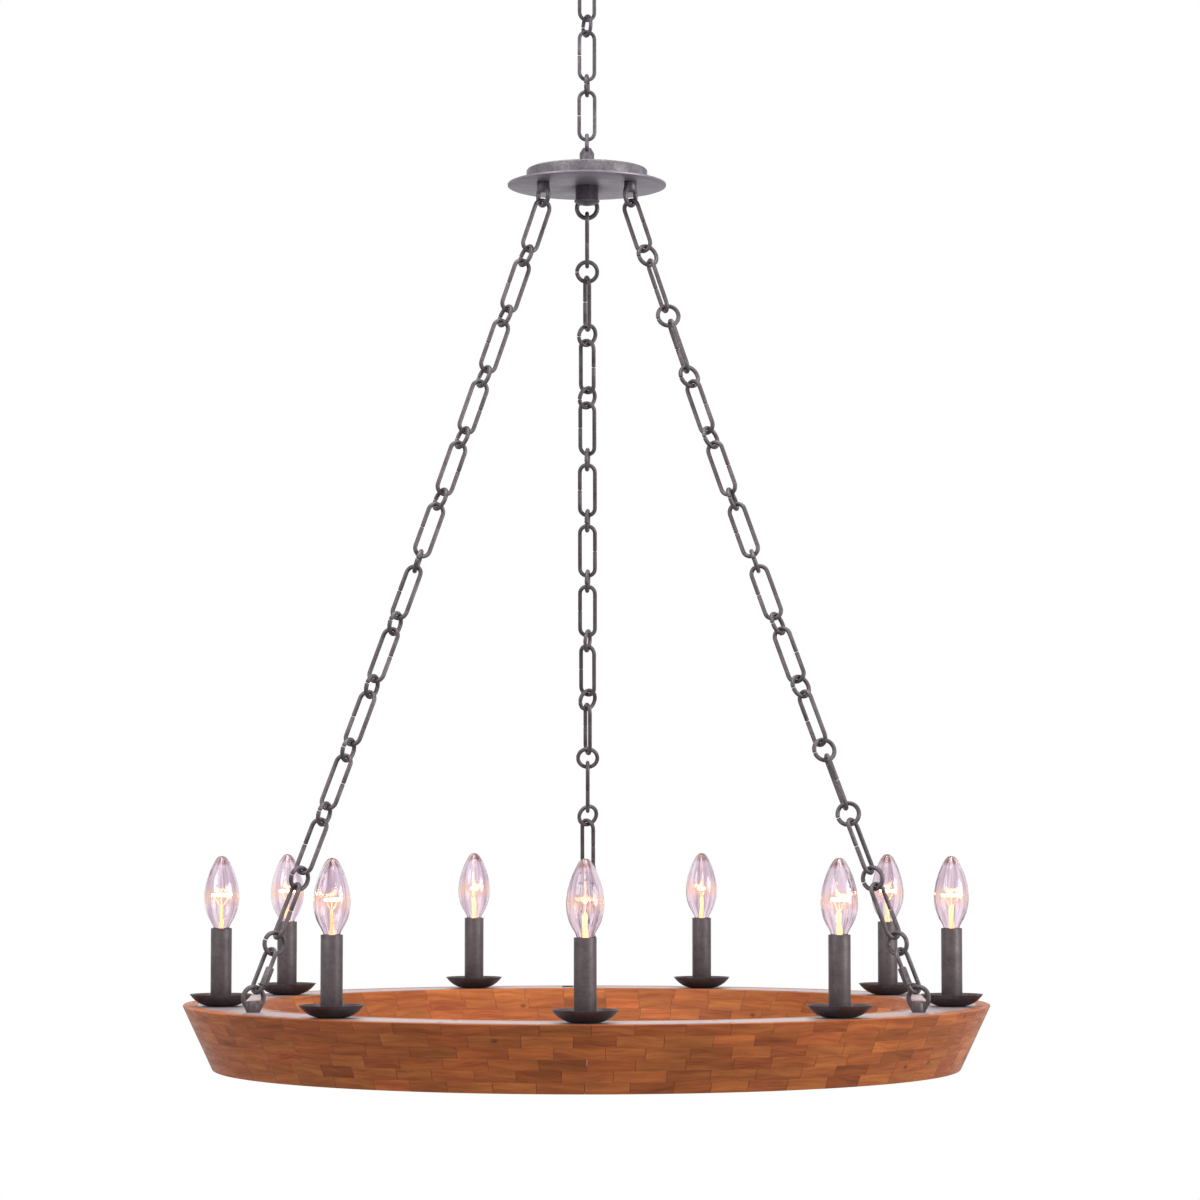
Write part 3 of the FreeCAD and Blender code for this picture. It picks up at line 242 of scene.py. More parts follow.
def glued_wood():
    """Oiled hardwood blocks: grain along each block, a tone for each block, knots, and hairline joints.

    The map "grain" holds metres along a block and up its side. The attribute "block" holds its tone, warmth
    and length, and "knot" the middle of its knot, which lies far off where it has none.
    """
    finish = Finish("glued_wood")
    flat = finish.node("UVMap", uv_map="grain").outputs[0]
    run = finish.node("SeparateXYZ", {0: flat})
    along, across = run.outputs[0], run.outputs[1]
    facts = finish.node("Attribute", attribute_name="block").outputs["Vector"]
    block = finish.node("SeparateXYZ", {0: facts})
    tone, warmth, length = block.outputs[0], block.outputs[1], block.outputs[2]

    # Grain: every block reads another stretch of the noise, and its fibres wander a little
    shift = finish.calc("MULTIPLY", tone, 71.3)
    wander = finish.node("CombineXYZ", {0: finish.calc("MULTIPLY", along, 18.0), 1: shift})
    drift = finish.noise(wander.outputs[0], 1.0, 1.0)
    bowed = finish.calc("ADD", across, finish.calc("MULTIPLY", drift, 0.012))

    def streaks(along_scale, across_scale, detail, roughness):
        stretched = finish.calc("MULTIPLY", along, along_scale)
        squeezed = finish.calc("MULTIPLY", bowed, across_scale)
        at = finish.node("CombineXYZ", {0: stretched, 1: squeezed, 2: shift})
        return finish.noise(at.outputs[0], 1.0, detail, roughness)

    figure = streaks(14.0, 170.0, 2.0, 0.5)
    fine = streaks(45.0, 1100.0, 3.0, 0.6)
    pores = streaks(190.0, 3800.0, 1.0, 0.5)
    grain = finish.calc("ADD", finish.calc("MULTIPLY", figure, 0.55), finish.calc("MULTIPLY", fine, 0.45))
    pale = finish.blend(warmth, colour(0.512, 0.134, 0.033), colour(0.552, 0.177, 0.043))
    deep = finish.blend(warmth, colour(0.236, 0.051, 0.016), colour(0.274, 0.069, 0.019))
    base = finish.blend(finish.spread(grain, 0.33, 0.67), deep, pale)

    # The block's own tone, and broad stains across all blocks
    stain = finish.noise(finish.place((1, 1, 3)), 7.0, 3.0, 0.6)
    toned = finish.spread(tone, 0.0, 1.0, 0.64, 1.20)
    stained = finish.spread(stain, 0.35, 0.65, 0.84, 1.08)
    shade = finish.calc("MULTIPLY", toned, stained)
    grey = finish.node("CombineColor", {0: shade, 1: shade, 2: shade}).outputs[0]
    base = finish.blend(1.0, base, grey, "MULTIPLY")
    base = finish.blend(finish.spread(pores, 0.64, 0.72, 0.0, 0.4), base, colour(0.15, 0.040, 0.016))

    # Knots
    knot = finish.node("Attribute", attribute_name="knot").outputs["Vector"]
    away = finish.node("VectorMath", {0: flat, 1: knot}, operation="SUBTRACT").outputs[0]
    away = finish.node("VectorMath", {0: away, 1: (0.6, 1.0, 0.0)}, operation="MULTIPLY").outputs[0]
    reach = finish.node("VectorMath", {0: away}, operation="LENGTH").outputs["Value"]
    reach = finish.calc("ADD", reach, finish.calc("MULTIPLY", fine, 0.0012))
    base = finish.blend(finish.spread(reach, 0.0012, 0.0036, 0.8, 0.0), base, colour(0.085, 0.022, 0.012))

    # Joints: dark hairlines at a block's two ends, fainter ones along the beds between courses
    near = finish.calc("MINIMUM", along, finish.calc("SUBTRACT", length, along))
    seam = finish.spread(near, 0.00016, 0.00046, 0.62, 0.0)
    seam = finish.calc("MULTIPLY", seam, finish.spread(warmth, 0.0, 0.8, 0.12, 1.0))
    off_middle = finish.calc("ABSOLUTE", finish.calc("SUBTRACT", across, 0.0057))
    past = finish.calc("GREATER_THAN", off_middle, 0.0055)
    bed = finish.calc("MULTIPLY", past, finish.calc("LESS_THAN", off_middle, 0.0060))
    seam = finish.calc("MAXIMUM", seam, finish.calc("MULTIPLY", bed, 0.22))
    base = finish.blend(seam, base, colour(0.105, 0.028, 0.014))
    height = finish.calc("SUBTRACT", grain, finish.calc("MULTIPLY", seam, 0.8))
    finish.bump(height, 0.35, 0.00012)
    roughness = finish.spread(grain, 0.3, 0.7, 0.50, 0.38)
    return finish.set(Base_Color=base, Roughness=roughness, Specular_IOR_Level=0.2)


def lamp_glass():
    """Pink-tinted glass, streaked from its foot to its tip, with a brown pinch at the tip, and a painted
    orange glow in a band round the filament's height.

    The attribute "round" holds the way round the glass as a unit arrow, and the share of its height.
    """
    finish = Finish("lamp_glass")
    facts = finish.node("Attribute", attribute_name="round").outputs["Vector"]
    parts = finish.node("SeparateXYZ", {0: facts})
    east, north, height = parts.outputs[0], parts.outputs[1], parts.outputs[2]
    around = finish.node("CombineXYZ", {
        0: finish.calc("MULTIPLY", east, 3.4), 1: finish.calc("MULTIPLY", north, 3.4),
        2: finish.calc("MULTIPLY", height, 0.9),
    })
    streak = finish.noise(around.outputs[0], 1.0, 2.0, 0.55)
    finish.bump(streak, 0.5, 0.0006)
    clear = finish.spread(streak, 0.36, 0.60)
    tint = finish.blend(clear, colour(0.64, 0.53, 0.62), colour(0.97, 0.88, 0.93))
    tip = finish.spread(height, 0.86, 0.92)
    pinch = finish.calc("MULTIPLY", tip, finish.spread(streak, 0.44, 0.56, 1.0, 0.0))
    tint = finish.blend(pinch, tint, colour(0.36, 0.17, 0.15))
    # Painted glow: the glass is tinted orange in a band round the filament's height, for the filament's
    # light seen through it
    off_filament = finish.calc("ABSOLUTE", finish.calc("SUBTRACT", height, 0.44))
    painted_glow_band = finish.spread(off_filament, 0.0, 0.17, 0.6, 0.0)
    tint = finish.blend(painted_glow_band, tint, colour(1.0, 0.76, 0.64))
    return finish.set(Base_Color=tint, Roughness=0.02, IOR=1.4, Transmission_Weight=1.0)


def glowing(name, tone, strength):
    """Glowing hot wire, and the painted glow of a lamp's stem and holding wires, brighter in places."""
    finish = Finish(name)
    flicker = finish.noise(finish.place(), 900.0, 2.0, 0.5)
    heat_and_painted_glow = finish.blend(flicker, colour(tone[0], tone[1] * 0.8, tone[2] * 0.6), colour(*tone))
    return finish.set(
        Base_Color=heat_and_painted_glow, Roughness=0.4, Emission_Color=heat_and_painted_glow,
        Emission_Strength=finish.spread(flicker, 0.3, 0.7, strength * 0.7, strength),
    )


PEWTER = steel(
    "brushed_pewter", (0.180, 0.160, 0.196), (0.282, 0.252, 0.306), metal=0.6, rough=0.44,
    brush=(14, 700, 700),
)
DRUM = steel(
    "speckled_pewter", (0.090, 0.078, 0.088), (0.225, 0.205, 0.222), metal=0.35, rough=0.52,
    grain=520.0, depth=0.0003,
)
FORGED = steel(
    "forged_steel", (0.062, 0.050, 0.057), (0.148, 0.126, 0.138), metal=0.5, rough=0.48,
    grain=420.0, depth=0.0003,
)
TOP_FORGED = steel(
    "forged_pewter", (0.054, 0.045, 0.054), (0.150, 0.132, 0.150), metal=0.55, rough=0.46,
    grain=420.0, depth=0.0003,
)
CANDLE = steel(
    "bronzed_steel", (0.064, 0.047, 0.051), (0.110, 0.086, 0.092), metal=0.3, rough=0.50,
    grain=300.0, depth=0.0002,
)
# The sleeves' bronzed steel made darker: painted shade for the saucers, whose undersides face away from the
# lights
SHADED_SAUCER_BRONZE = steel(
    "bronzed_steel_painted_shade", (0.040, 0.028, 0.030), (0.082, 0.064, 0.068), metal=0.4, rough=0.46,
    grain=300.0, depth=0.0002,
)
BAND_STEEL = steel(
    "band_steel", (0.34, 0.27, 0.29), (0.45, 0.37, 0.39), metal=0.5, rough=0.40,
    brush=(240, 240, 900), grain=500.0, depth=0.0001,
)
ZINC = plain_metal("zinc_plate", (0.60, 0.60, 0.57), 0.32)
BRASS = plain_metal("lamp_shell", (0.62, 0.42, 0.16), 0.28)
GREEN = plain_metal("green_dye", (0.05, 0.26, 0.08), 0.34)
BLACK = moulded("black_moulding", (0.022, 0.022, 0.023))
WOOD = glued_wood()
GLASS = lamp_glass()
FILAMENT = glowing("hot_filament", (1.0, 0.78, 0.42), strength=30.0)
# Painted glow: the lamp's stem and holding wires shine orange for the filament's light, though they are no
# lamp
PAINTED_STEM_GLOW = glowing("painted_glow_stem", (1.0, 0.62, 0.30), strength=2.2)


# Shapes ------------------------------------------------------------------------------------------------

def is_vert(item):
    return isinstance(item, bmesh.types.BMVert)


def sharp_edge(edge):
    return len(edge.link_faces) == 2 and edge.calc_face_angle() > math.radians(32)


def close(shape, soften=0.0):
    """Merges, turns the faces outward, rounds the sharp edges, and hands back a plain mesh."""
    bmesh.ops.remove_doubles(shape, verts=shape.verts, dist=0.0005)
    bmesh.ops.recalc_face_normals(shape, faces=shape.faces)
    if soften:
        sharp = [edge for edge in shape.edges if sharp_edge(edge)]
        bmesh.ops.bevel(
            shape, geom=sharp, offset=soften, segments=2, profile=0.5, affect="EDGES", material=-1,
            clamp_overlap=True,
        )
    mesh = bpy.data.meshes.new("pattern")
    shape.to_mesh(mesh)
    shape.free()
    return mesh


def turned(outline, soften=0.3, steps=64):
    """A closed outline (radius, height) turned about Z."""
    shape = bmesh.new()
    corners = [shape.verts.new((radius, 0, height)) for radius, height in outline]
    pairs = [(corners[index - 1], corners[index]) for index in range(len(corners))]
    edges = [shape.edges.new(pair) for pair in pairs if pair[0].co.x + pair[1].co.x > 0]
    bmesh.ops.spin(
        shape, geom=corners + edges, axis=(0, 0, 1), cent=(0, 0, 0), angle=math.tau, steps=steps,
        use_merge=True,
    )
    return close(shape, soften)


def loose_edges(verts):
    """The edges that run between these vertices."""
    inside = set(verts)
    touching = {edge for vert in verts for edge in vert.link_edges}
    return [edge for edge in touching if all(vert in inside for vert in edge.verts)]


def wire_start(shape, wire, at, sides=14):
    """The round end of a wire, lying flat."""
    place = Matrix.Translation(at)
    made = bmesh.ops.create_circle(shape, cap_ends=False, radius=wire / 2, segments=sides, matrix=place)
    return made["verts"]


def run_on(shape, verts, along):
    """Draws the wire out straight."""
    made = bmesh.ops.extrude_edge_only(shape, edges=loose_edges(verts))
    ends = [item for item in made["geom"] if is_vert(item)]
    bmesh.ops.translate(shape, vec=along, verts=ends)
    return ends


def bend(shape, verts, centre, angle, steps):
    """Bends the wire round a centre in the XZ plane."""
    made = bmesh.ops.spin(
        shape, geom=list(verts) + loose_edges(verts), axis=(0, 1, 0), cent=centre, angle=angle, steps=steps,
    )
    return [item for item in made["geom_last"] if is_vert(item)]


def cap(shape):
    bmesh.ops.holes_fill(shape, edges=[edge for edge in shape.edges if edge.is_boundary], sides=0)


def wire_link(length, width, wire, low_end=-CUT / 2, high_end=CUT / 2):
    """A long link in the XZ plane, bent from wire, open in its leg at -X."""
    shape = bmesh.new()
    half = (width - wire) / 2
    straight = (length - width) / 2
    ends = wire_start(shape, wire, (-half, 0, high_end))
    ends = run_on(shape, ends, (0, 0, straight - high_end))
    ends = bend(shape, ends, (0, 0, straight), math.pi, 14)
    ends = run_on(shape, ends, (0, 0, -2 * straight))
    ends = bend(shape, ends, (0, 0, -straight), math.pi, 14)
    run_on(shape, ends, (0, 0, straight + low_end))
    cap(shape)
    return close(shape, 0.35)


def wire_ring(diameter, wire):
    """A ring in the XZ plane, bent from wire, open at -X."""
    shape = bmesh.new()
    radius = (diameter - wire) / 2
    opening = CUT / radius
    ends = wire_start(shape, wire, (-radius, 0, 0))
    bmesh.ops.rotate(shape, verts=ends, cent=(0, 0, 0), matrix=Matrix.Rotation(opening / 2, 3, "Y"))
    bend(shape, ends, (0, 0, 0), math.tau - opening, 40)
    cap(shape)
    return close(shape, 0.35)


def hoop(shape, diameter, wire, height):
    """A whole ring of wire in the XZ plane round a centre at a height."""
    ends = wire_start(shape, wire, ((diameter - wire) / 2, 0, height), 18)
    bmesh.ops.spin(
        shape, geom=list(ends) + loose_edges(ends), axis=(0, 1, 0), cent=(0, 0, height), angle=math.tau,
        steps=44, use_merge=True,
    )


def thicken(shape, along):
    """Draws a flat face out to a solid."""
    made = bmesh.ops.extrude_face_region(shape, geom=list(shape.faces))
    far = [item for item in made["geom"] if is_vert(item)]
    bmesh.ops.translate(shape, vec=along, verts=far)


def web_plate(corners, thickness):
    """A flat web in the XZ plane, half its thickness to each side."""
    shape = bmesh.new()
    shape.faces.new([shape.verts.new((across, -thickness / 2, height)) for across, height in corners])
    thicken(shape, (0, thickness, 0))
    return close(shape, 0.6)


def with_hoop(outline, diameter, wire, height, web=None):
    """A turned foot with a ring of wire standing in it, and a web between them if it has one."""
    shape = bmesh.new()
    hoop(shape, diameter, wire, height)
    pieces = [turned(outline, 0.5), close(shape)]
    if web:
        pieces.append(web_plate(web, WEB_THICKNESS))
    both = bmesh.new()
    for piece in pieces:
        both.from_mesh(piece)
    mesh = bpy.data.meshes.new("pattern")
    both.to_mesh(mesh)
    both.free()
    return mesh


def hexagon(flats, height, chamfer=0.8):
    """A nut with its corners turned off at both faces, standing on z = 0. The wire fills its bore."""
    shape = bmesh.new()
    bmesh.ops.create_circle(shape, cap_ends=True, radius=flats / math.sqrt(3), segments=6)
    thicken(shape, (0, 0, height))
    caps = [face for face in shape.faces if abs(face.normal.z) > 0.5]
    bmesh.ops.recalc_face_normals(shape, faces=shape.faces)
    rims = {edge for face in caps for edge in face.edges}
    bmesh.ops.bevel(
        shape, geom=list(rims), offset=chamfer, segments=1, profile=0.5, affect="EDGES", material=-1,
        clamp_overlap=True,
    )
    return close(shape)


# Assembling ---------------------------------------------------------------------------------------------

HERE = [Matrix.Identity(4)]


def finish_piece(name, shape, body, material, nodes=(), smooth=35):
    """Makes one object in metres at the origin, rides it on its body and lets it stand for its nodes."""
    bmesh.ops.scale(shape, vec=(TO_METRES, TO_METRES, TO_METRES), verts=shape.verts)
    mesh = bpy.data.meshes.new(name)
    shape.to_mesh(mesh)
    shape.free()
    mesh.materials.append(material)
    mesh.shade_smooth()
    mesh.set_sharp_from_angle(angle=math.radians(smooth))
    piece = bpy.data.objects.new(name, mesh)
    bpy.context.scene.collection.objects.link(piece)
    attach(piece, body)
    if nodes:
        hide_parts(*nodes)
    return piece


def set_out(patterns_and_places):
    """One shape that holds a copy of each pattern at each of its places."""
    shape = bmesh.new()
    for pattern, places in patterns_and_places:
        for place in places:
            before = len(shape.verts)
            shape.from_mesh(pattern)
            shape.verts.ensure_lookup_table()
            bmesh.ops.transform(shape, matrix=place, verts=shape.verts[before:])
    return shape


def polar(radius, angle, height, turn=0.0, tip=0.0):
    """A place round the light's axis, turned about its own upright and tipped over."""
    way = math.radians(angle)
    base = Matrix.Translation((radius * math.cos(way), radius * math.sin(way), height))
    turned_over = Matrix.Rotation(math.radians(tip), 4, "X")
    return base @ Matrix.Rotation(math.radians(angle + turn), 4, "Z") @ turned_over


def candle_places(height):
    return [polar(CANDLE_CIRCLE, -90 + 360 / CANDLES * index, height) for index in range(CANDLES)]


def hang_side_chain():
    """The pieces of a side chain as (kind, distance out, depth, lean) from the hub eye's bar.

    Wires touch but for a slack, the chain leans more toward its lower end, and its mean lean is the one
    that brings that end to the eye on the ring.
    """
    half = (SIDE_WIRE + SLACK) / 2
    eye_half = SIDE_WIRE / 4 + EYE[1] / 4 + SLACK / 2
    lengths = {"link": SIDE_LINK[0], "ring": SIDE_RING, "quick": QUICK_LINK[0]}
    spans = {kind: length - SIDE_WIRE for kind, length in lengths.items()}
    kinds = ["link", "ring"] * 12 + ["quick"]
    above = [eye_half] + [half] * 24
    below = [half] * 24 + [eye_half]
    pitches = [spans[kind] - up - down for kind, up, down in zip(kinds, above, below)]
    total = sum(pitches)
    reach = CANDLE_CIRCLE - HUB_EYE_CIRCLE
    leans = []
    passed = 0.0
    for pitch in pitches:
        leans.append(CHAIN_BOW * ((passed + pitch / 2) / total - 0.5))
        passed += pitch
    steps = list(pitches)
    steps[0] -= above[0]
    steps[-1] += (EYE[0] - EYE[1]) / 2 - below[-1]
    across = sum(step * math.cos(lean) for step, lean in zip(steps, leans))
    along = sum(step * math.sin(lean) for step, lean in zip(steps, leans))
    mean = math.asin(reach / math.hypot(across, along)) - math.atan2(along, across)
    leans = [mean + lean for lean in leans]
    out = -above[0] * math.sin(leans[0])
    depth = -above[0] * math.cos(leans[0])
    hung = []
    for kind, up, pitch, lean in zip(kinds, above, pitches, leans):
        middle = spans[kind] / 2 - up
        hung.append((kind, out + middle * math.sin(lean), depth + middle * math.cos(lean), lean))
        out += pitch * math.sin(lean)
        depth += pitch * math.cos(lean)
    return hung


def chain_place(azimuth, out, depth, lean, turn):
    """A place on the side chain that hangs at an azimuth, leaned with it and turned about its length."""
    way = math.radians(azimuth)
    radius = HUB_EYE_CIRCLE + out
    height = HUB_FLOOR - EYE[2] + EYE[1] / 2 - depth
    base = Matrix.Translation((radius * math.cos(way), radius * math.sin(way), height))
    leaned = Matrix.Rotation(way, 4, "Z") @ Matrix.Rotation(-lean, 4, "Y")
    return base @ leaned @ Matrix.Rotation(math.radians(turn - azimuth), 4, "Z")


# The wooden ring ----------------------------------------------------------------------------------------

def wall_outlines(level):
    """The cross-sections (radius, height) of a course's walls, level 0 at the bottom."""
    low = RING_TOP - COURSE * (COURSES - level)
    high = low + COURSE
    lean = TAPER / (COURSE * COURSES)
    outer = [OUTER_EDGE - lean * (RING_TOP - height) for height in (low, high)]
    inner = [INNER_EDGE - lean * (RING_TOP - height) for height in (low, high)]
    if level < WHOLE_COURSES:
        edge = FOOT_CHAMFER if level == 0 else 0.0
        whole = [(inner[0] + edge, low), (outer[0] - edge, low)]
        if edge:
            whole.append((outer[0] + lean * edge, low + edge))
        whole += [(outer[1], high), (inner[1], high)]
        if edge:
            whole.append((inner[0] + lean * edge, low + edge))
        return [("whole", whole)]
    if level < COURSES - 1:
        return [
            ("outer", [(CHANNEL[1], low), (outer[0], low), (outer[1], high), (CHANNEL[1], high)]),
            ("inner", [(inner[0], low), (CHANNEL[0], low), (CHANNEL[0], high), (inner[1], high)]),
        ]
    seat = high - BAND
    edge = TOP_CHAMFER
    return [
        ("outer", [
            (CHANNEL[1], low), (outer[0], low), (outer[1] - lean * edge, high - edge),
            (outer[1] - edge, high), (REBATE[1], high), (REBATE[1], seat), (CHANNEL[1], seat),
        ]),
        ("inner", [
            (inner[0], low), (CHANNEL[0], low), (CHANNEL[0], seat), (REBATE[0], seat), (REBATE[0], high),
            (inner[1] + edge, high), (inner[1] - lean * edge, high - edge),
        ]),
    ]


def lay_block(course, outline, start, span, slants, facts, knot):
    """One glued block: its outline swept through an angle, with both ends a little out of square."""
    shape = bmesh.new()
    corners = [shape.verts.new((radius, 0, height)) for radius, height in outline]
    edges = [shape.edges.new((corners[index - 1], corners[index])) for index in range(len(corners))]
    bmesh.ops.spin(shape, geom=corners + edges, axis=(0, 0, 1), cent=(0, 0, 0), angle=span, steps=3)
    cap(shape)
    bmesh.ops.recalc_face_normals(shape, faces=shape.faces)
    low = min(height for radius, height in outline)
    radii = [radius for radius, height in outline]
    inside, outside, middle = min(radii), max(radii), sum(radii) / len(radii)
    uv = shape.loops.layers.uv.new("grain")
    block = shape.faces.layers.float_vector.new("block")
    mark = shape.faces.layers.float_vector.new("knot")
    for face in shape.faces:
        flat = abs(face.normal.z) > 0.6
        centre = face.calc_center_median()
        outward = face.normal.dot(Vector((centre.x, centre.y, 0))) > 0
        radius_here = middle if flat else outside if outward else inside
        face[block] = (facts[0], facts[1], span * radius_here * TO_METRES)
        face[mark] = (knot[0] * span * radius_here * TO_METRES, knot[1] * COURSE * TO_METRES, 0.0)
        for loop in face.loops:
            where = loop.vert.co
            along = math.atan2(where.y, where.x) * radius_here * TO_METRES
            if flat:
                across = (math.hypot(where.x, where.y) - inside) * TO_METRES + PAST_THE_SIDES
            else:
                across = (where.z - low) * TO_METRES
            loop[uv].uv = (along, across)
    for vert in shape.verts:
        share = math.atan2(vert.co.y, vert.co.x) / span
        slant = slants[0] + (slants[1] - slants[0]) * share
        rise = (vert.co.z - low) / COURSE - 0.5
        hairline = HAIRLINE / middle * (0.5 - share)
        turn = start + slant * rise + hairline
        vert.co = Matrix.Rotation(turn, 3, "Z") @ vert.co
    mesh = bpy.data.meshes.new("block")
    shape.to_mesh(mesh)
    shape.free()
    course.from_mesh(mesh)
    bpy.data.meshes.remove(mesh)


def lay_course(level, chance):
    """A round of blocks of uneven length, each with its own tone and now and then a knot."""
    course = bmesh.new()
    for wall, outline in wall_outlines(level):
        count = BLOCKS[wall]
        weights = [chance.uniform(*BLOCK_LENGTHS) for _ in range(count)]
        spans = [math.tau * weight / sum(weights) for weight in weights]
        radius = max(radius for radius, height in outline)
        slants = [chance.gauss(0.0, BLOCK_SLANT) / radius for _ in range(count)]
        start = chance.uniform(0.0, math.tau)
        for index, span in enumerate(spans):
            tone = min(1.0, max(0.0, chance.gauss(*BLOCK_TONE)))
            if chance.random() < DARK_BLOCKS:
                tone *= DARK_TONE
            facts = (tone, chance.random())
            knot = NO_KNOT
            if chance.random() < KNOTTY_BLOCKS:
                knot = (chance.uniform(0.15, 0.85), chance.uniform(0.2, 0.8))
            ends = (slants[index], slants[(index + 1) % count])
            lay_block(course, outline, start, span, ends, facts, knot)
            start += span
    return course


def build_wood():
    chance = random.Random(41)
    for level in range(COURSES):
        course = lay_course(level, chance)
        nodes = [f"ring_course_{level + 1}"]
        finish_piece(f"glued_course_{level + 1}", course, "wheel", WOOD, nodes, 25)


# Steel on the ring --------------------------------------------------------------------------------------

EYEBOLT_OUTLINE = [(0, -14), (3, -14), (3, 0), (6.8, 0), (6.8, 9), (5.5, 11.5), (0, 11.5)]
EYE_WEB = [(-6.8, 0.05), (6.8, 0.05), (10.9, 7.6), (10.9, 11.4), (-10.9, 11.4), (-10.9, 7.6)]
WEB_THICKNESS = 4.4
SAUCER_OUTLINE = [
    (STEM_HOLE, 0), (12.5, 0), (17.5, 0.95), (22.5, 3.0), (27.0, 6.1), (30.2, 9.2), (33.0, 12.7),
    (31.8, 12.7), (29.2, 9.9), (26.2, 7.1), (22.0, 4.3), (17.3, 2.2), (12.5, 1.2), (STEM_HOLE, 1.2),
]
SLEEVE_OUTLINE = [(9.9, SLEEVE_FOOT), (11.1, SLEEVE_FOOT), (11.1, SLEEVE_TOP), (9.9, SLEEVE_TOP)]


def build_ring_eyes(eyebolt):
    places = [polar(CANDLE_CIRCLE, angle, RING_TOP) for angle in CHAINS.values()]
    eyes = set_out([(eyebolt, places)])
    finish_piece("ring_eyes", eyes, "wheel", CANDLE, ["ring_eyebolts"])


def build_candles():
    places = candle_places(RING_TOP)
    saucers = set_out([(turned(SAUCER_OUTLINE, 0.25, 72), places)])
    # The saucers wear the darker bronze, which holds painted shade
    finish_piece("saucers", saucers, "wheel", SHADED_SAUCER_BRONZE, ["candle_saucers"], 50)
    sleeves = set_out([(turned(SLEEVE_OUTLINE, 0.3, 56), places)])
    finish_piece("sleeves", sleeves, "wheel", CANDLE, ["candle_sleeves"])


# Lamps --------------------------------------------------------------------------------------------------

SHELL = 5.85
GLASS_WALL = 0.8
GLASS_HEIGHT = 76.2
GLASS_OUTLINE = [
    (SHELL, -8.5), (7.4, -4.0), (8.4, 0), (9.3, 3), (10.9, 6.1), (13.3, 10), (15.6, 15), (17.2, 20),
    (18.2, 25), (18.7, 29.7), (18.6, 35), (18.0, 40), (17.25, 45.7), (16.1, 50), (14.6, 55), (12.8, 60),
    (10.6, 65.2), (8.6, 69), (6.4, 72.5), (3.8, 75.2), (1.8, 76.0), (0, GLASS_HEIGHT),
]
STEM_OUTLINE = [(0, -8.5), (3.0, -8.5), (2.7, 4), (1.9, 12), (2.3, 20), (1.5, 24), (0, 24.6)]
HOLDING_WIRES = (
    ((-1.1, 0, 22), (-8.4, 0, 34.4), 0.7),
    ((1.1, 0, 22), (8.4, 0, 34.4), 0.7),
    ((0, 0, 23), (0, 0, 33), 0.6),
)


def glass_envelope():
    """A wall of glass, thicker at the tip, closed round its foot."""
    inner = []
    for radius, height in GLASS_OUTLINE[:-2]:
        thicker = 1.6 * max(0.0, (height - 58) / 18.0)
        wall = GLASS_WALL + thicker
        inner.append((max(radius - wall, 0.0), height - 0.6 * max(0.0, wall - GLASS_WALL)))
    inner = [point for point in inner if point[0] > 0.6] + [(0, 71.5)]
    mesh = turned(GLASS_OUTLINE + inner[::-1], 0.0, 56)
    facts = mesh.attributes.new("round", "FLOAT_VECTOR", "POINT")
    for vert, fact in zip(mesh.vertices, facts.data):
        way = vert.co.to_2d().normalized()
        fact.vector = (way.x, way.y, vert.co.z / GLASS_HEIGHT)
    return mesh


def coil(radius, wire, width, turns, height):
    """The filament: a helix along X."""
    shape = bmesh.new()
    made = bmesh.ops.create_circle(shape, cap_ends=False, radius=wire / 2, segments=5)
    ends = made["verts"]
    bmesh.ops.rotate(shape, verts=ends, cent=(0, 0, 0), matrix=Matrix.Rotation(math.pi / 2, 3, "Z"))
    bmesh.ops.translate(shape, vec=(-width / 2, radius, 0), verts=ends)
    steps = turns * 8
    bmesh.ops.spin(
        shape, geom=list(ends) + loose_edges(ends), axis=(1, 0, 0), cent=(0, 0, 0),
        dvec=(width / steps, 0, 0), angle=math.tau * turns, steps=steps,
    )
    cap(shape)
    bmesh.ops.translate(shape, vec=(0, 0, height), verts=shape.verts)
    return close(shape)


def straight_wire(start, end, wire):
    """A straight wire between two points."""
    shape = bmesh.new()
    way = Vector(end) - Vector(start)
    turn = way.to_track_quat("Z", "Y").to_matrix().to_4x4()
    bmesh.ops.create_cone(
        shape, cap_ends=True, segments=8, radius1=wire / 2, radius2=wire / 2, depth=way.length,
        matrix=Matrix.Translation((Vector(start) + Vector(end)) / 2) @ turn,
    )
    return close(shape)


def threaded_shell():
    """The lamp's metal base: a contact at its foot, six turns of thread, and a collar under the glass."""
    outline = [(0, -27.2), (2.4, -27.2), (SHELL, -22.4)]
    for turn in range(6):
        height = -21.6 + turn * 1.9
        outline += [(SHELL, height), (SHELL - 0.5, height + 0.95)]
    return turned(outline + [(SHELL, -9.9), (SHELL, -8.5), (0, -8.5)], 0.0, 40)


def build_lamps():
    stem = turned(STEM_OUTLINE, 0.0, 24)
    wires = [straight_wire(*wire) for wire in HOLDING_WIRES]
    parts = (
        ("glass", GLASS, [glass_envelope()]),
        ("shell", BRASS, [threaded_shell()]),
        # The stem and holding wires carry a painted glow
        ("stem", PAINTED_STEM_GLOW, [stem] + wires),
        ("filament", FILAMENT, [coil(radius=1.25, wire=0.75, width=21.0, turns=15, height=34.5)]),
    )
    for index, place in enumerate(candle_places(RING_TOP + SLEEVE_TOP)):
        body = f"bulb_{index + 1}"
        for kind, material, patterns in parts:
            shape = set_out([(pattern, [place]) for pattern in patterns])
            nodes = [body] if kind == "glass" else []
            finish_piece(f"lamp_{index + 1}_{kind}", shape, body, material, nodes, 60)


# Hub, chains and canopy ---------------------------------------------------------------------------------

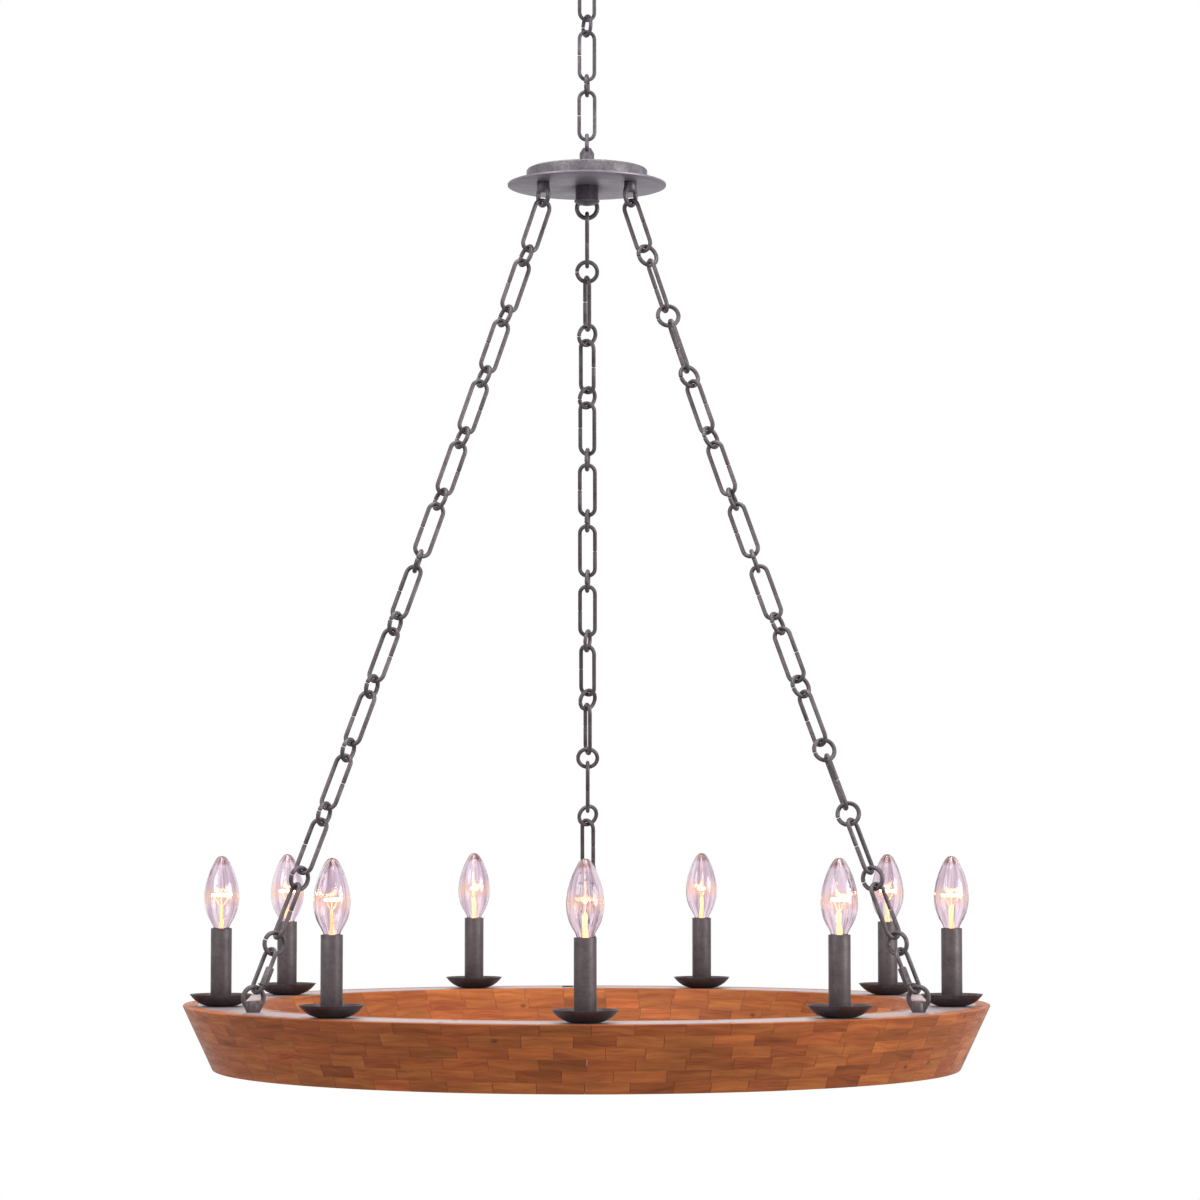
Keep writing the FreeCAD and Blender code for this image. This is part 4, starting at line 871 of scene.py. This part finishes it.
LOOP_OUTLINE = [(0, 8.5), (STEM_HOLE, 8.5), (STEM_HOLE, 0), (8, 0), (8, 18), (4.5, 24), (0, 24)]
FINIAL_OUTLINE = [
    (0, -12), (STEM_HOLE, -12), (STEM_HOLE, 0), (12.4, 0), (12.4, -15.8), (13.8, -15.8), (13.8, -17.2),
    (13.0, -18.0), (10.6, -19.2), (7.4, -20.3), (3.8, -21.0), (0, -21.2),
]
DISC_TOP = HUB_FLOOR + 2.2
DISC_OUTLINE = [(STEM_HOLE, HUB_FLOOR), (86.5, HUB_FLOOR), (86.5, DISC_TOP), (STEM_HOLE, DISC_TOP)]
DRUM_OUTLINE = [
    (64.8, DISC_TOP), (66, DISC_TOP), (66, HUB_TOP - 1.5), (64.5, HUB_TOP), (STEM_HOLE, HUB_TOP),
    (STEM_HOLE, HUB_TOP - 1.2), (63.9, HUB_TOP - 1.2), (64.8, HUB_TOP - 2.1),
]
CANOPY_OUTLINE = [
    (STEM_HOLE, CANOPY_FLOOR), (62, CANOPY_FLOOR), (65, CANOPY_FLOOR + 3), (65, 0), (63.8, 0),
    (63.8, CANOPY_FLOOR + 3.6), (61.4, CANOPY_FLOOR + 1.2), (STEM_HOLE, CANOPY_FLOOR + 1.2),
]


def build_hub(eyebolt, loop):
    hub_floor = [Matrix.Translation((0, 0, HUB_FLOOR))]
    loop_place = [polar(0, 0, HUB_TOP, HUB_LOOP_TURN)]
    eye_places = [polar(HUB_EYE_CIRCLE, angle, HUB_FLOOR, 90, 180) for angle in CHAINS.values()]
    pieces = (
        ("drum_cover", turned(DRUM_OUTLINE, 0.35, 128), HERE, DRUM, "hub_drum"),
        ("hub_plate", turned(DISC_OUTLINE, 0.4, 144), HERE, PEWTER, "hub_disc"),
        ("finial", turned(FINIAL_OUTLINE, 0.3, 64), hub_floor, TOP_FORGED, "hub_finial"),
        ("hub_loop_forged", loop, loop_place, TOP_FORGED, "hub_loop"),
        ("hub_eyes", eyebolt, eye_places, TOP_FORGED, "hub_eyebolts"),
    )
    for name, pattern, places, material, node in pieces:
        finish_piece(name, set_out([(pattern, places)]), "hub", material, [node])


def build_canopy(loop):
    pan = set_out([(turned(CANOPY_OUTLINE, 0.4, 128), HERE)])
    finish_piece("canopy_pan", pan, "ceiling_mount", DRUM, ["ceiling_canopy"])
    hung = set_out([(loop, [polar(0, 0, CANOPY_FLOOR, 90, 180)])])
    finish_piece("canopy_loop_forged", hung, "ceiling_mount", TOP_FORGED, ["canopy_loop"])


def build_top_chain():
    patterns = {"link": wire_link(*TOP_LINK, TOP_WIRE), "ring": wire_ring(TOP_RING, TOP_WIRE)}
    names = ("upper_link", "upper_ring", "middle_link", "lower_ring", "lower_link")
    for name, turn in zip(names, TOP_TURNS):
        level, kind = name.split("_")
        node = f"top_{kind}_{level}"
        low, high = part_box(node)
        centre = (low.z + high.z) / 2 * 1000
        shape = set_out([(patterns[kind], [polar(0, 0, centre, turn)])])
        finish_piece(name + "_bent", shape, name, TOP_FORGED, [node], 60)


def build_side_chains():
    """Each chain's links, rings and quick link. The quick link's nut covers the gap in its leg."""
    nut_low = (QUICK_LINK[1] - QUICK_LINK[0]) / 2 + SLACK
    gap_low = nut_low + 2.0
    patterns = {
        "link": wire_link(*SIDE_LINK, SIDE_WIRE),
        "ring": wire_ring(SIDE_RING, SIDE_WIRE),
        "quick": wire_link(*QUICK_LINK, SIDE_WIRE, gap_low, gap_low + 6.0),
    }
    nut = hexagon(8.0, 20.0)
    nut_seat = Matrix.Translation(((SIDE_WIRE - QUICK_LINK[1]) / 2, 0, nut_low))
    hung = hang_side_chain()
    for name, azimuth in CHAINS.items():
        turns = {"link": LINK_TURNS[name], "ring": RING_TURNS[name], "quick": (QUICK_TURNS[name],)}
        places = {"link": [], "ring": [], "quick": []}
        for kind, out, depth, lean in hung:
            turn = turns[kind][len(places[kind])]
            places[kind].append(chain_place(azimuth, out, depth, lean, turn))
        body = name + "_chain"
        nut_place = [places["quick"][0] @ nut_seat]
        pieces = (
            ("links_bent", patterns["link"], places["link"], body, "chain_links", 60),
            ("rings_bent", patterns["ring"], places["ring"], body, "chain_rings", 60),
            ("closing_link", patterns["quick"], places["quick"], body, "quick_link", 60),
            ("closing_nut", nut, nut_place, body + "_nut", "quick_link_nut", 30),
        )
        for piece, pattern, where, carrier, node, smooth in pieces:
            shape = set_out([(pattern, where)])
            nodes = [f"{name}_{node}"]
            finish_piece(f"{name}_{piece}", shape, carrier, FORGED, nodes, smooth)


def paint_frame():
    """Finishes for the nodes that stay as they are."""
    kept = {
        "crossbar": ZINC, "crossbar_locknut": ZINC, "canopy_stem": ZINC, "hub_stem": ZINC,
        "hub_stem_nuts": ZINC, "hub_eyebolt_nuts": ZINC, "ring_eyebolt_nuts": ZINC, "candle_nipples": ZINC,
        "candle_nuts": ZINC, "ground_screw": GREEN, "hub_bushing": BLACK, "ring_bushing": BLACK,
        "wiring_loom": BLACK, "candle_sockets": BLACK, "carrier_band": BAND_STEEL, "band_screws": CANDLE,
    }
    for name, material in kept.items():
        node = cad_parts[name]
        for slot in node.material_slots:
            slot.material = material
        if not node.material_slots:
            node.data.materials.append(material)


# Room and camera ----------------------------------------------------------------------------------------

def aim(thing, at):
    way = Vector(at) - thing.location
    thing.rotation_euler = way.to_track_quat("-Z", "Y").to_euler()


def build_floor():
    """A pale floor that keeps the shadow and shows to the camera a little brighter than it is lit."""
    shape = bmesh.new()
    bmesh.ops.create_grid(shape, x_segments=2, y_segments=2, size=FLOOR_REACH)
    bmesh.ops.translate(shape, vec=(0, 0, FLOOR_HEIGHT), verts=shape.verts)
    mesh = bpy.data.meshes.new("room_floor")
    shape.to_mesh(mesh)
    shape.free()
    floor = bpy.data.objects.new("room_floor", mesh)
    bpy.context.scene.collection.objects.link(floor)
    finish = Finish("room_floor")
    tooth = finish.noise(finish.place(), 6.0, 2.0)
    seen = finish.node("LightPath").outputs["Is Camera Ray"]
    finish.set(
        Base_Color=finish.blend(tooth, colour(0.66, 0.66, 0.66), colour(0.70, 0.70, 0.70)),
        Roughness=0.9, Emission_Color=colour(1, 1, 1),
        Emission_Strength=finish.calc("MULTIPLY", seen, FLOOR_GLOW),
    )
    mesh.materials.append(finish.material)


def build_world():
    """Soft light on the object, and white wherever the room is seen, mirrored or seen through glass."""
    world = bpy.data.worlds.new("room")
    bpy.context.scene.world = world
    world.use_nodes = True
    nodes = world.node_tree.nodes
    links = world.node_tree.links
    nodes.clear()
    path = nodes.new("ShaderNodeLightPath")
    seen = path.outputs["Is Camera Ray"]
    for ray in ("Is Glossy Ray", "Is Transmission Ray"):
        either = nodes.new("ShaderNodeMath")
        either.operation = "MAXIMUM"
        links.new(seen, either.inputs[0])
        links.new(path.outputs[ray], either.inputs[1])
        seen = either.outputs[0]
    choice = nodes.new("ShaderNodeMixShader")
    links.new(seen, choice.inputs[0])
    soft = (colour(1.0, 0.99, 1.0), WORLD_LIGHT)
    white = (colour(1, 1, 1), 1.0)
    for index, (tone, strength) in enumerate((soft, white)):
        light = nodes.new("ShaderNodeBackground")
        light.inputs["Color"].default_value = tone
        light.inputs["Strength"].default_value = strength
        links.new(light.outputs[0], choice.inputs[1 + index])
    out = nodes.new("ShaderNodeOutputWorld")
    links.new(choice.outputs[0], out.inputs[0])


def build_lights():
    for name, place, size, power in LAMPS:
        light = bpy.data.lights.new(name, "AREA")
        light.shape = "DISK"
        light.size = size
        light.energy = power
        lamp = bpy.data.objects.new(name, light)
        lamp.location = place
        bpy.context.scene.collection.objects.link(lamp)
        aim(lamp, LAMPS_AIM)


def build_camera():
    data = bpy.data.cameras.new("viewpoint")
    data.sensor_width = SENSOR
    data.lens = LENS
    camera = bpy.data.objects.new("viewpoint", data)
    camera.location = CAMERA_PLACE
    camera.rotation_euler = (math.radians(CAMERA_TILT), 0, 0)
    bpy.context.scene.collection.objects.link(camera)
    bpy.context.scene.camera = camera


def main():
    build_camera()
    build_floor()
    build_world()
    build_lights()
    eyebolt = with_hoop(EYEBOLT_OUTLINE, EYE[0], EYE[1], EYE[2] - EYE[0] / 2, EYE_WEB)
    loop = with_hoop(LOOP_OUTLINE, LOOP[0], LOOP[1], LOOP[2] - LOOP[0] / 2)
    build_wood()
    build_ring_eyes(eyebolt)
    build_candles()
    build_lamps()
    build_hub(eyebolt, loop)
    build_canopy(loop)
    build_top_chain()
    build_side_chains()
    paint_frame()
    bpy.context.scene.view_settings.view_transform = "Standard"


main()
